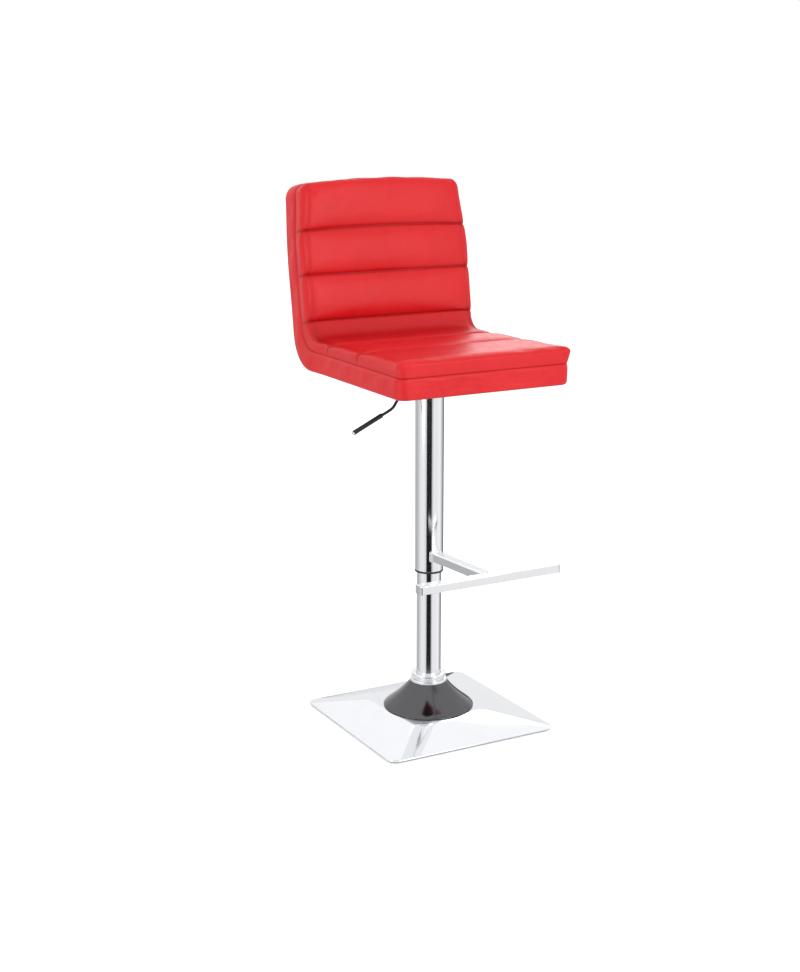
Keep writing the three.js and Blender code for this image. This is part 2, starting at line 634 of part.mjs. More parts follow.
// What is inside the L seen from above: its two front corners are round.
function frontCutter(halfWidth, inset, radius) {
  const front = inset - SEAT_REACH;
  const outline = new THREE.Shape();
  outline.moveTo(halfWidth, BACK_TOP);
  outline.lineTo(-halfWidth, BACK_TOP);
  outline.absarc(radius - halfWidth, front + radius, radius, Math.PI, 1.5 * Math.PI);
  outline.absarc(halfWidth - radius, front + radius, radius, 1.5 * Math.PI, 2 * Math.PI);
  outline.closePath();
  return plate(outline, 0, 2 * BACK_TOP);
}

// What is inside the L seen square on to its back: sides that lean in to an arched top.
function topCutter(halfWidth, inset, radius) {
  const side = halfWidth - TOP_NARROWING;
  const arch = (x) => -inset - TOP_ARCH * (x / side) ** 2;
  const flat = side - radius;
  const outline = new THREE.Shape();
  outline.moveTo(-halfWidth, -2 * BACK_TOP);
  outline.lineTo(halfWidth, -2 * BACK_TOP);
  outline.lineTo(halfWidth, -NARROWING_LENGTH);
  outline.lineTo(side, arch(side) - radius);
  outline.quadraticCurveTo(side, arch(side), flat, arch(flat));
  for (let k = 1; k <= ARCH_STEPS; k++) {
    const x = flat * (1 - (2 * k) / ARCH_STEPS);
    outline.lineTo(x, arch(x));
  }
  outline.quadraticCurveTo(-side, arch(side), -side, arch(side) - radius);
  outline.lineTo(-halfWidth, -NARROWING_LENGTH);
  outline.closePath();
  const corner = backPoint(BACK_REACH + BACK_DEPTH, BACK_TOP - BACK_THICK * Math.sin(RECLINE));
  return plate(outline, -BACK_TOP, BACK_TOP)
    .rotateX(Math.PI / 2 - RECLINE)
    .translate(0, corner.x, corner.y);
}

// A layer of the L between two depths, across the given half width.
function layer(
  from,
  to,
  halfWidth,
  frontInset = 0,
  topInset = 0,
  frontR = FRONT_CORNER_R - frontInset,
  topR = TOP_CORNER_R - topInset,
) {
  const near = layerLine(from, frontInset, topInset);
  const far = layerLine(to, frontInset, topInset);
  const square = acrossX(new THREE.Shape([...near, ...far.reverse()]), halfWidth);
  return fromSolid(
    toSolid(square)
      .intersect(toSolid(frontCutter(halfWidth, frontInset, frontR)))
      .intersect(toSolid(topCutter(halfWidth, topInset, topR))),
  );
}

const PLY_DEPTH = SKIN_THICK + GAP;
const FOAM_DEPTH = PLY_DEPTH + PLY_THICK + GAP;
const PAD_DEPTH = GUSSET_DEPTH + GAP;
const SHELL_INSET = SKIN_THICK + GAP; // from the gusset's outside to what is inside it

function buildSeat() {
  const innerHalf = GUSSET_HALF_WIDTH - SHELL_INSET;
  const shell = layer(PLY_DEPTH, PLY_DEPTH + PLY_THICK, innerHalf, SHELL_INSET, SHELL_INSET);
  const barrels = holesAt(bore(T_NUT_BARREL_R, GAP, SMALL_STEPS), PLY_BOTTOM - 1, PLY_TOP + 1);
  const flangeFloor = PLY_TOP - T_NUT_FLANGE - 2 * GAP;
  const flanges = holesAt(bore(T_NUT_FLANGE_R, GAP, SMALL_STEPS), flangeFloor, PLY_TOP + 1);
  add("seat_shell", cut(shell, ...barrels, ...flanges), FINISH.ply);
  const foam = layer(FOAM_DEPTH, GUSSET_DEPTH, innerHalf, SHELL_INSET, SHELL_INSET);
  add("foam_core", foam, FINISH.foam);
  const pad = layer(PAD_DEPTH, SEATING_FACE, PAD_HALF_WIDTH, -PAD_OVERHANG, 0, PAD_FRONT_R, PAD_TOP_R);
  add("channel_pad", pad, FINISH.leatherette);

  // The gusset is the outline of the L's inner layers, open towards the shell and towards the pad.
  const block = layer(PLY_DEPTH, GUSSET_DEPTH, GUSSET_HALF_WIDTH);
  const inner = layer(0, GUSSET_DEPTH + 2, GUSSET_HALF_WIDTH - SKIN_THICK, SKIN_THICK, SKIN_THICK);
  add("side_gusset", cut(block, inner), FINISH.leatherette);
}

// The skins under the seat and behind the back, which meet at the start of the bend.
function buildSkins() {
  const skin = layer(0, SKIN_THICK, GUSSET_HALF_WIDTH);
  const meet = layerLine(0, 0, 0)[1].x;
  const reach = 4 * BACK_TOP;
  const w = 2 * GUSSET_HALF_WIDTH;
  const holes = holesAt(bore(BOLT_R, GAP, SMALL_STEPS), SEAT_BOTTOM - 1, SEAT_BOTTOM + SKIN_THICK + 1);
  const front = cut(skin, box(-w, w, meet - GAP, reach, 0, reach), ...holes);
  add("dust_cover", front, FINISH.dustCloth);
  add("rear_panel", cut(skin, box(-w, w, -reach, meet, 0, reach)), FINISH.leatherette);
}

// ---- Lever and button ----
const LEVER_CURVE = [
  [LEVER_PIVOT_X - 14, LEVER_Z - 0.5],
  [LEVER_PIVOT_X - 26, LEVER_Z - 11],
  [LEVER_PIVOT_X - 34, LEVER_Z - 29],
  [LEVER_PIVOT_X - 45, LEVER_Z - 45],
  [LEVER_PIVOT_X - 58, LEVER_Z - 53],
  [LEVER_PIVOT_X - 80, LEVER_Z - 63],
  [LEVER_PIVOT_X - 135, LEVER_Z - 89],
];

function buildLever() {
  const outer = new THREE.CatmullRomCurve3(
    [[LEVER_INNER_X, LEVER_Z], [LEVER_PIVOT_X, LEVER_Z], ...LEVER_CURVE].map(
      ([x, z]) => new THREE.Vector3(x, 0, z),
    ),
    false,
    "centripetal",
  );
  const eye = pinShape(bore(LEVER_PIN_R, RUN, SMALL_STEPS), 3 * LEVER_R);
  // The grip slides on from the lever's end; the rod stops just short of the tip.
  const gripPath = new THREE.CatmullRomCurve3(
    Array.from({ length: 7 }, (_, k) => outer.getPointAt(GRIP_START + ((1 - GRIP_START) * k) / 6)),
  );
  const end = outer.getPointAt(1);
  const heading = outer.getTangentAt(1);
  const boss = new THREE.CylinderGeometry(LEVER_R + 1.6, LEVER_R + 1.6, 2 * LEVER_R + 4, SMALL_STEPS);
  const rod = join(bar(outer, LEVER_R, LEVER_STEPS), boss.translate(LEVER_PIVOT_X, 0, LEVER_Z));
  add("lever_rod", cut(rod, eye), FINISH.blackSteel);
  const grip = cut(bar(gripPath, GRIP_R, 8), bar(outer, LEVER_R + GAP, LEVER_STEPS));
  const [inside, beyond] = [-12, 12].map((past) => end.clone().addScaledVector(heading, past));
  const mouth = bar(new THREE.LineCurve3(inside, beyond), LEVER_R + GAP, 1);
  add("lever_grip", cut(grip, mouth), FINISH.blackPlastic);
  const tipStart = end.clone().addScaledVector(heading, GAP);
  const tip = bar(new THREE.LineCurve3(tipStart, end.clone().addScaledVector(heading, 3)), GRIP_R, 1);
  add("lever_tip", tip, FINISH.chrome);
}

function buildButton() {
  const top = LEVER_Z - LEVER_R - GAP;
  add("release_button", disc(BUTTON_R, top - BUTTON_LENGTH, top, SMALL_STEPS), FINISH.steel);
}

buildBase();
buildLowerColumn();
buildBallCage();
buildSpindle();
buildGasCylinder();
buildCoverTube();
buildFootrest();
buildMechanism();
buildFasteners();
buildSeat();
buildSkins();
buildLever();
buildButton();

export default stool;
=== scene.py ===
"""Adjustable swivel stool: its looks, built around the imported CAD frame.

Metres throughout, +Z up, the front is -Y, and the origin is on the floor on the column's axis.
"""
import json
import logging
import math
from dataclasses import dataclass, field
from enum import Enum
from typing import Mapping, Optional, Sequence, Union

import bmesh
import bpy
import numpy as np
from mathutils import Euler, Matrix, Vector

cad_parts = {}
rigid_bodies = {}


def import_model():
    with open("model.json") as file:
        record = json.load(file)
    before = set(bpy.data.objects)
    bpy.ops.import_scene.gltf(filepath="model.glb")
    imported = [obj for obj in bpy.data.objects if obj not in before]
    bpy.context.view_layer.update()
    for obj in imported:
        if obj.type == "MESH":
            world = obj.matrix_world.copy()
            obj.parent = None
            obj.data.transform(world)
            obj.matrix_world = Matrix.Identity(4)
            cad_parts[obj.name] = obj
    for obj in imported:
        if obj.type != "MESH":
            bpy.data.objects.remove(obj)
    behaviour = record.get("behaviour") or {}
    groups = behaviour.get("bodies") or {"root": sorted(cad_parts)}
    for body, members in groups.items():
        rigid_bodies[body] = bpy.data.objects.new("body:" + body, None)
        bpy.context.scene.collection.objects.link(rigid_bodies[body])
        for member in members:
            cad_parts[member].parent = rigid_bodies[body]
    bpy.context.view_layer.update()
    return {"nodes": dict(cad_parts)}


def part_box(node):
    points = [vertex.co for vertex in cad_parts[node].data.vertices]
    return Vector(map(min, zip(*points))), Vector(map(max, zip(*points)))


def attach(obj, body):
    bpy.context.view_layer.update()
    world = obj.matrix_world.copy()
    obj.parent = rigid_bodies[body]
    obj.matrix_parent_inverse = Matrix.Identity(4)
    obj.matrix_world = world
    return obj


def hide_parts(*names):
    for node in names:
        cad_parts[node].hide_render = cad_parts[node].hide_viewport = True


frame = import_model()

LOG = logging.getLogger("stool")

Array = np.ndarray
Socket = bpy.types.NodeSocket
Value = Union[float, Sequence[float], Socket]
MM = 0.001
QUARTER = math.pi / 2


class Body(Enum):
    """The bodies that the pieces made here ride on."""

    BASE = "base"
    CARRIAGE = "carriage"
    LEVER = "lever"


# ---------------------------------------------------------------- materials


class Graph:
    """One node material, put together step by step around its Principled shader."""

    def __init__(self, name: str) -> None:
        """Makes an empty material.

        Args:
            name: Its name.
        """
        self.material = bpy.data.materials.new(name)
        self.material.use_nodes = True
        self.tree = self.material.node_tree
        self.shader = self.tree.nodes["Principled BSDF"]
        self.place = self.add("ShaderNodeTexCoord").outputs["Object"]

    def add(self, kind: str, inputs: Optional[Mapping] = None, **settings: object) -> bpy.types.Node:
        """Adds a node.

        Args:
            kind: The node's type.
            inputs: Values or sockets for its inputs, by name or number.
            **settings: Properties to set on the node.

        Returns:
            The node.
        """
        node = self.tree.nodes.new(kind)
        for key, setting in settings.items():
            setattr(node, key, setting)
        for key, value in (inputs or {}).items():
            self.feed(node.inputs[key], value)
        return node

    def feed(self, socket: Socket, value: Value) -> None:
        """Links a socket into an input, or sets the input to a plain value.

        Args:
            socket: The input.
            value: The socket or value that it gets.
        """
        if isinstance(value, bpy.types.NodeSocket):
            self.tree.links.new(value, socket)
        else:
            socket.default_value = value

    def set(self, **inputs: Value) -> None:
        """Sets the shader's inputs, with _ for a space in their names."""
        for key, value in inputs.items():
            self.feed(self.shader.inputs[key.replace("_", " ")], value)

    def stretched(self, scale: Sequence[float]) -> Socket:
        """Object coordinates multiplied axis by axis."""
        return self.add("ShaderNodeMapping", {"Vector": self.place, "Scale": scale}).outputs[0]

    def noise(self, scale: float, detail: float = 3.0, roughness: float = 0.5,
              stretch: Sequence[float] = (1, 1, 1), distortion: float = 0.0) -> Socket:
        """Fractal noise from 0 to 1, with features about 1 / scale metres across.

        Args:
            scale: Features in a metre.
            detail: How many finer layers lie over it.
            roughness: How strong those layers are.
            stretch: What each axis is multiplied by first.
            distortion: How far the pattern is bent by itself.

        Returns:
            The socket that gives it.
        """
        place = self.place if tuple(stretch) == (1, 1, 1) else self.stretched(stretch)
        inputs = {"Vector": place, "Scale": scale, "Detail": detail, "Roughness": roughness,
                  "Distortion": distortion}
        return self.add("ShaderNodeTexNoise", inputs).outputs[0]

    def cells(self, scale: float, feature: str = "F1") -> Socket:
        """The distance to the nearest cell point, or to the edge between cells."""
        inputs = {"Vector": self.place, "Scale": scale}
        return self.add("ShaderNodeTexVoronoi", inputs, feature=feature).outputs["Distance"]

    def ranged(self, value: Socket, low: float, high: float, to_low: float = 0.0,
               to_high: float = 1.0) -> Socket:
        """Maps low..high to to_low..to_high, and clamps."""
        inputs = {"Value": value, "From Min": low, "From Max": high, "To Min": to_low, "To Max": to_high}
        return self.add("ShaderNodeMapRange", inputs).outputs[0]

    def maths(self, operation: str, a: Value, b: Value = 0.0) -> Socket:
        """One Math node on two values."""
        return self.add("ShaderNodeMath", {0: a, 1: b}, operation=operation).outputs[0]

    def mixed(self, share: Value, a: Value, b: Value) -> Socket:
        """Colour a where share is 0, colour b where it is 1.

        Args:
            share: The share of b.
            a: The first colour.
            b: The second colour.

        Returns:
            The socket that gives the colour.
        """
        node = self.add("ShaderNodeMix", data_type="RGBA")
        for index, value in ((0, share), (6, a), (7, b)):
            self.feed(node.inputs[index], value)
        return node.outputs[2]

    def attribute(self, name: str) -> Socket:
        """The value that a piece carries at each point under that name."""
        return self.add("ShaderNodeAttribute", attribute_name=name).outputs["Fac"]

    def bump(self, height: Socket, distance: float, strength: float = 1.0,
             under: Optional[Socket] = None) -> Socket:
        """A normal raised by height times distance metres, on top of another bump.

        Args:
            height: The relief, from 0 to 1.
            distance: How high 1 is, in metres.
            strength: The share of the effect.
            under: The normal that it is laid on, if there is one.

        Returns:
            The socket that gives the normal.
        """
        inputs = {"Height": height, "Distance": distance, "Strength": strength}
        if under is not None:
            inputs["Normal"] = under
        return self.add("ShaderNodeBump", inputs).outputs[0]


def rgb(red: float, green: float, blue: float) -> tuple[float, float, float, float]:
    """A linear colour with full alpha."""
    return (red, green, blue, 1.0)


class Look:
    """What every finish shares: it makes a material and paints it in its own way."""

    def paint(self, g: Graph) -> None:
        """Sets the shader of an empty material."""
        raise NotImplementedError

    def material(self, name: str) -> bpy.types.Material:
        """The finish as a material.

        Args:
            name: The material's name.

        Returns:
            The material.
        """
        g = Graph(name)
        self.paint(g)
        return g.material


@dataclass(frozen=True)
class Leatherette(Look):
    """Coated fabric: pebbled grain, faint colour drift, and painted shade where its covers carry it: seams,
    bend, rim and turned edges.
    """

    colour: tuple[float, float, float]
    rubbed: tuple[float, float, float] = (0.84, 0.05, 0.06)
    # painted shade colour, mixed in by the point value that each cover carries
    painted_shade_colour: tuple[float, float, float] = (0.42, 0.001, 0.002)
    grain: float = 620.0
    gloss: float = 0.36

    def paint(self, g: Graph) -> None:
        """Sets the shader.

        Args:
            g: The material's graph.
        """
        deep = [c * k for c, k in zip(self.colour, (0.90, 0.50, 0.55))]
        drift = g.ranged(g.noise(9.0, 4.0, 0.6), 0.3, 0.7)
        wear_and_painted_shade = g.ranged(g.noise(60.0, 3.0, 0.6), 0.35, 0.75)
        base = g.mixed(drift, rgb(*deep), rgb(*self.colour))
        base = g.mixed(g.maths("MULTIPLY", wear_and_painted_shade, 0.10), base, rgb(*self.rubbed))
        # Painted shade: the cover darkens towards the shade colour in its seams, bend, rim and turned edges,
        # and it is rougher there.
        painted_shade = g.attribute("painted_shade")
        base = g.mixed(g.maths("MULTIPLY", painted_shade, 0.88), base, rgb(*self.painted_shade_colour))
        pebble = g.cells(self.grain, "SMOOTH_F1")
        pores = g.cells(self.grain * 0.43, "DISTANCE_TO_EDGE")
        fine = g.noise(2200.0, 2.0)
        relief = g.maths("ADD", g.maths("MULTIPLY", pebble, -0.7), g.ranged(pores, 0.0, 0.12, 0.0, 0.6))
        relief = g.maths("ADD", relief, g.maths("MULTIPLY", fine, 0.25))
        soft = g.bump(g.noise(34.0, 3.0, 0.55), 0.0009, 0.6)
        rough = g.ranged(g.maths("ADD", wear_and_painted_shade, g.maths("MULTIPLY", painted_shade, 0.5)), 0.0, 1.2,
                         self.gloss, self.gloss + 0.14)
        g.set(Base_Color=base, Roughness=rough, Normal=g.bump(relief, 0.00012, 0.55, soft),
              Specular_IOR_Level=0.30, Coat_Weight=0.03, Coat_Roughness=0.25)


@dataclass(frozen=True)
class Metal(Look):
    """Bare or plated metal: fine scratches, a slow ripple in the surface, and faint smears."""

    colour: tuple[float, float, float]
    roughness: float = 0.05
    ripple: float = 0.00004
    scratch: float = 0.000003
    smear: float = 0.06
    dark: float = 0.9

    def paint(self, g: Graph) -> None:
        """Sets the shader.

        Args:
            g: The material's graph.
        """
        cloud = g.ranged(g.noise(22.0, 4.0, 0.65), 0.35, 0.7)
        shade = [c * self.dark for c in self.colour]
        hairline = g.noise(900.0, 2.0, 0.5, stretch=(1.0, 1.0, 0.04), distortion=0.4)
        marks = g.ranged(g.noise(260.0, 5.0, 0.7), 0.58, 0.72)
        rough = g.maths("ADD", g.maths("MULTIPLY", cloud, self.smear),
                        g.maths("MULTIPLY", marks, 0.05))
        rough = g.maths("ADD", rough, self.roughness)
        skin = g.bump(g.noise(16.0, 1.0, 0.3), self.ripple)
        g.set(Base_Color=g.mixed(cloud, rgb(*self.colour), rgb(*shade)), Metallic=1.0,
              Roughness=rough, Normal=g.bump(hairline, self.scratch, 1.0, skin))


@dataclass(frozen=True)
class Moulded(Look):
    """Moulded plastic, nylon or rubber, or a powder coat: a fine stipple and rubbed patches."""

    colour: tuple[float, float, float]
    roughness: float = 0.45
    stipple: float = 0.00006
    size: float = 1500.0
    metallic: float = 0.0

    def paint(self, g: Graph) -> None:
        """Sets the shader.

        Args:
            g: The material's graph.
        """
        rubbed = g.ranged(g.noise(45.0, 4.0, 0.6), 0.4, 0.75)
        dusty = [min(1.0, c * 1.35 + 0.012) for c in self.colour]
        beads = g.maths("MULTIPLY", g.cells(self.size / 2), 0.5)
        stipple = g.maths("ADD", g.noise(self.size, 2.0, 0.6), beads)
        rough = g.ranged(rubbed, 0.0, 1.0, self.roughness, max(0.1, self.roughness - 0.14))
        g.set(Base_Color=g.mixed(rubbed, rgb(*self.colour), rgb(*dusty)), Roughness=rough,
              Metallic=self.metallic, Normal=g.bump(stipple, self.stipple, 0.8))


@dataclass(frozen=True)
class Plywood(Look):
    """Pressed veneers: thin dark glue lines between layers, and grain along them."""

    pale: tuple[float, float, float] = (0.56, 0.36, 0.19)
    deep: tuple[float, float, float] = (0.36, 0.20, 0.09)
    glue: tuple[float, float, float] = (0.10, 0.05, 0.03)

    def paint(self, g: Graph) -> None:
        """Sets the shader.

        Args:
            g: The material's graph.
        """
        grain = g.noise(55.0, 6.0, 0.65, stretch=(0.12, 1.0, 1.6), distortion=0.7)
        inputs = {"Vector": g.place, "Scale": 105.0, "Distortion": 0.6, "Detail": 2.0}
        layers = g.add("ShaderNodeTexWave", inputs, bands_direction="Z").outputs["Fac"]
        glue = g.ranged(layers, 0.0, 0.16, 1.0, 0.0)
        wood = g.mixed(g.ranged(grain, 0.3, 0.7), rgb(*self.deep), rgb(*self.pale))
        g.set(Base_Color=g.mixed(glue, wood, rgb(*self.glue)), Roughness=0.68,
              Normal=g.bump(grain, 0.0003, 0.7))


@dataclass(frozen=True)
class Foam(Look):
    """Open-cell foam: small round pores, darkened with painted shade, over soft lumps."""

    colour: tuple[float, float, float] = (0.80, 0.70, 0.42)
    aged: tuple[float, float, float] = (0.70, 0.53, 0.26)
    pore_shade: tuple[float, float, float] = (0.35, 0.27, 0.13)

    def paint(self, g: Graph) -> None:
        """Sets the shader.

        Args:
            g: The material's graph.
        """
        pores = g.ranged(g.cells(700.0), 0.05, 0.45)
        aged = g.ranged(g.noise(12.0, 3.0), 0.3, 0.7)
        skin = g.mixed(aged, rgb(*self.colour), rgb(*self.aged))
        # Painted shade in the pores.
        g.set(Base_Color=g.mixed(pores, rgb(*self.pore_shade), skin), Roughness=0.95,
              Normal=g.bump(pores, 0.0006))


@dataclass(frozen=True)
class SpunCloth(Look):
    """Spun-bonded lining: pressed dimples in rows, and stray fibres."""

    colour: tuple[float, float, float] = (0.018, 0.018, 0.021)

    def paint(self, g: Graph) -> None:
        """Sets the shader.

        Args:
            g: The material's graph.
        """
        dimple = g.ranged(g.cells(640.0), 0.1, 0.5)
        fibre = g.noise(900.0, 4.0, 0.7, stretch=(1.0, 0.3, 1.0), distortion=1.5)
        pale = [c * 3.2 for c in self.colour]
        g.set(Base_Color=g.mixed(fibre, rgb(*self.colour), rgb(*pale)), Roughness=0.9,
              Sheen_Weight=0.25, Normal=g.bump(g.maths("ADD", dimple, fibre), 0.00025, 0.8))


@dataclass(frozen=True)
class Thread(Look):
    """Twisted sewing thread."""

    colour: tuple[float, float, float] = (0.30, 0.006, 0.010)

    def paint(self, g: Graph) -> None:
        """Sets the shader.

        Args:
            g: The material's graph.
        """
        ply = g.noise(3200.0, 2.0, 0.5, stretch=(1.0, 0.5, 1.0))
        bright = [c * 1.8 for c in self.colour]
        g.set(Base_Color=g.mixed(ply, rgb(*self.colour), rgb(*bright)), Roughness=0.55,
              Normal=g.bump(ply, 0.0001))


class Finish(Enum):
    """Every finish on the stool."""

    LEATHERETTE = Leatherette((0.77, 0.010, 0.015))
    THREAD = Thread()
    CHROME = Metal((0.90, 0.905, 0.92), roughness=0.035, smear=0.05)
    PLATE_CHROME = Metal((0.93, 0.945, 0.975), roughness=0.03, smear=0.03, ripple=0.00010, dark=0.97)
    DARK_CHROME = Metal((0.016, 0.0165, 0.018), roughness=0.07, smear=0.05, ripple=0.0022, dark=0.7)
    STEEL = Metal((0.42, 0.43, 0.44), roughness=0.28, smear=0.14, scratch=0.000012, dark=0.75)
    BLACK_STEEL = Moulded((0.012, 0.012, 0.013), roughness=0.42, stipple=0.00010, size=1100.0, metallic=0.15)
    BLACK_PLASTIC = Moulded((0.010, 0.010, 0.011), roughness=0.36, stipple=0.00004, size=1800.0)
    RUBBER = Moulded((0.016, 0.016, 0.016), roughness=0.78, stipple=0.00012, size=900.0)
    NYLON = Moulded((0.66, 0.64, 0.58), roughness=0.42, stipple=0.00003, size=1500.0)
    PLYWOOD = Plywood()
    FOAM = Foam()
    DUST_CLOTH = SpunCloth()

    def material(self) -> bpy.types.Material:
        """The finish's material, made the first time it is asked for."""
        name = self.name.lower()
        return bpy.data.materials.get(name) or self.value.material(name)


# ---------------------------------------------------------------- meshes


def unit(vectors: Array) -> Array:
    """Vectors divided by their lengths along the last axis."""
    return vectors / np.maximum(np.linalg.norm(vectors, axis=-1, keepdims=True), 1e-12)


def grid_faces(rows: int, columns: int, wrap_rows: bool, wrap_columns: bool) -> Array:
    """The four corners of each face between neighbouring grid points.

    Args:
        rows: Points along the first parameter.
        columns: Points along the second parameter.
        wrap_rows: Whether the last row joins the first.
        wrap_columns: Whether the last column joins the first.

    Returns:
        One row of four point numbers per face.
    """
    number = np.arange(rows * columns).reshape(rows, columns)
    number = np.vstack([number, number[:1]]) if wrap_rows else number
    number = np.hstack([number, number[:, :1]]) if wrap_columns else number
    here, right, over, up = number[:-1, :-1], number[1:, :-1], number[1:, 1:], number[:-1, 1:]
    return np.stack([here, right, over, up], axis=-1).reshape(-1, 4)


def mesh_piece(name: str, points: Array, faces: Array, finish: Finish, body: Body,
               closed: bool = True) -> bpy.types.Object:
    """A smooth piece from points and faces, riding on a body.

    Args:
        name: The piece's name.
        points: Its points, in the last axis.
        faces: Four point numbers per face.
        finish: Its finish.
        body: The body it rides on.
        closed: Whether it is a closed shell, whose doubles are merged and faces turned out.

    Returns:
        The object.
    """
    mesh = bpy.data.meshes.new(name)
    mesh.from_pydata(points.reshape(-1, 3).tolist(), [], faces.tolist())
    if closed:
        made = bmesh.new()
        made.from_mesh(mesh)
        bmesh.ops.remove_doubles(made, verts=made.verts, dist=2e-6)
        bmesh.ops.dissolve_degenerate(made, edges=made.edges, dist=1e-7)
        bmesh.ops.recalc_face_normals(made, faces=made.faces)
        made.to_mesh(mesh)
        made.free()
    mesh.update()
    mesh.polygons.foreach_set("use_smooth", np.ones(len(mesh.polygons), bool))
    mesh.materials.append(finish.material())
    piece = bpy.data.objects.new(name, mesh)
    bpy.context.scene.collection.objects.link(piece)
    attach(piece, body.value)
    return piece


def stand_for(piece: bpy.types.Object, slot: str, *nodes: str) -> bpy.types.Object:
    """The piece stands for CAD nodes, which are hidden.

    Args:
        piece: The piece.
        slot: Not used.
        *nodes: The CAD nodes that it is shown instead of.

    Returns:
        The same piece.
    """
    if nodes:
        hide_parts(*nodes)
    return piece


def filleted(corners: Array, radii: Union[float, Array], steps: int = 5) -> Array:
    """A closed outline with each corner turned into an arc.

    The arc touches both sides at radius / tan(half the angle) from the corner, and a point stands
    half a radius outside each end of it, so that smooth shading stops there.

    Args:
        corners: The outline's corners, one row each.
        radii: The radius at each corner, or one for all.
        steps: Stretches in each arc.

    Returns:
        The points of the outline, one row each.
    """
    corners = np.asarray(corners, float)
    radii = np.broadcast_to(np.asarray(radii, float), (len(corners),))[:, None]
    back = unit(np.roll(corners, 1, axis=0) - corners)
    ahead = unit(np.roll(corners, -1, axis=0) - corners)
    half = np.arccos(np.clip((back * ahead).sum(1), -1, 1))[:, None] / 2
    reach = radii / np.tan(half)
    centre = corners + unit(back + ahead) * radii / np.sin(half)
    start, end = corners + back * reach - centre, corners + ahead * reach - centre
    sweep = math.pi - 2 * half
    t = np.linspace(0, 1, steps + 1)[None, :, None]
    safe = np.maximum(np.sin(sweep), 1e-9)[:, None]
    arc = start[:, None] * np.sin((1 - t) * sweep[:, None]) + end[:, None] * np.sin(t * sweep[:, None])
    arc = arc / safe + centre[:, None]
    before = (corners + back * (reach + radii / 2))[:, None]
    after = (corners + ahead * (reach + radii / 2))[:, None]
    return np.concatenate([before, arc, after], axis=1).reshape(-1, 2)


def turned(name: str, section: Sequence, radii: Union[float, Sequence[float]], finish: Finish, body: Body,
           steps: int = 96) -> bpy.types.Object:
    """A piece turned about the column's axis: (r cos a, r sin a, z) along a filleted section.

    Args:
        name: The piece's name.
        section: Corners (r, z) of the section, in metres.
        radii: Fillet radii.
        finish: Its finish.
        body: The body it rides on.
        steps: Stretches round the axis.

    Returns:
        The object.
    """
    outline = filleted(np.asarray(section, float), radii)
    angle = np.linspace(0, 2 * math.pi, steps, endpoint=False)[:, None]
    r, z = outline[None, :, 0], outline[None, :, 1]
    level = np.broadcast_to(z, (steps, len(outline)))
    points = np.stack([r * np.cos(angle), r * np.sin(angle), level], axis=-1)
    return mesh_piece(name, points, grid_faces(steps, len(outline), True, True), finish, body)


def capped(rings: Array) -> Array:
    """Rings closed at both ends by one more ring shrunk to the end ring's middle.

    Args:
        rings: The rings of points.

    Returns:
        The same rings with one more at each end.
    """
    first, last = rings[:1].mean(axis=1, keepdims=True), rings[-1:].mean(axis=1, keepdims=True)
    width = rings.shape[1]
    return np.concatenate([np.repeat(first, width, 1), rings, np.repeat(last, width, 1)])


def frames_along(path: Array, up: Sequence[float]) -> tuple[Array, Array]:
    """Two directions across a path at each point, the second as near to up as it can be.

    Args:
        path: Points along the middle.
        up: A direction that the path never takes.

    Returns:
        The two directions at each point.
    """
    heading = unit(np.gradient(path, axis=0))
    side = unit(np.cross(heading, np.asarray(up, float)))
    return side, np.cross(side, heading)


def swept(path: Array, radius: Union[float, Array], steps: int = 20, up: Sequence[float] = (0, 1, 0),
          closed: bool = False) -> tuple[Array, Array]:
    """A round rod along a path: point + radius (cos a side + sin a over).

    Args:
        path: Points along the middle.
        radius: The radius, or one at each point.
        steps: Stretches round it.
        up: A direction that the path never takes.
        closed: Whether the path is a loop.

    Returns:
        The grid of points and its faces.
    """
    if closed:
        side, over = frames_along(np.concatenate([path[-2:], path, path[:2]]), up)
        side, over = side[2:-2], over[2:-2]
    else:
        side, over = frames_along(path, up)
    angle = np.linspace(0, 2 * math.pi, steps, endpoint=False)[None, :, None]
    r = np.broadcast_to(np.asarray(radius, float), (len(path),))[:, None, None]
    rings = path[:, None] + r * (np.cos(angle) * side[:, None] + np.sin(angle) * over[:, None])
    rings = rings if closed else capped(rings)
    return rings, grid_faces(len(rings), steps, closed, True)


def smooth_path(points: Array, count: int) -> Array:
    """A path of evenly spaced points through the given ones.

    Each stretch is the cubic that leaves a point along the line between its two neighbours.

    Args:
        points: The points to pass through.
        count: How many points to give back.

    Returns:
        The points of the path.
    """
    points = np.asarray(points, float)
    ends = np.concatenate([2 * points[:1] - points[1:2], points, 2 * points[-1:] - points[-2:-1]])
    a, b, c, d = ends[:-3, None], ends[1:-2, None], ends[2:-1, None], ends[3:, None]
    t = np.linspace(0, 1, 24, endpoint=False)[None, :, None]
    curve = 0.5 * (2 * b + (c - a) * t + (2 * a - 5 * b + 4 * c - d) * t**2 + (3 * b - a - 3 * c + d) * t**3)
    curve = np.concatenate([curve.reshape(-1, points.shape[1]), points[-1:]])
    return resampled(curve, count)


def resampled(curve: Array, count: int, closed: bool = False) -> Array:
    """The same curve with evenly spaced points.

    Args:
        curve: Points along it.
        count: How many points to give back.
        closed: Whether it is a loop.

    Returns:
        The new points.
    """
    curve = np.concatenate([curve, curve[:1]]) if closed else curve
    length = np.concatenate([[0], np.cumsum(np.linalg.norm(np.diff(curve, axis=0), axis=1))])
    at = np.linspace(0, length[-1], count, endpoint=not closed)
    return np.stack([np.interp(at, length, curve[:, k]) for k in range(curve.shape[1])], axis=1)


def joined(*parts: tuple[Array, Array]) -> tuple[Array, Array]:
    """Several grids of points and faces as one.

    Args:
        *parts: The points and faces of each.

    Returns:
        The points and faces of all of them.
    """
    starts = np.cumsum([0] + [p.reshape(-1, 3).shape[0] for p, _ in parts])
    points = np.concatenate([p.reshape(-1, 3) for p, _ in parts])
    return points, np.concatenate([f + s for (_, f), s in zip(parts, starts)])


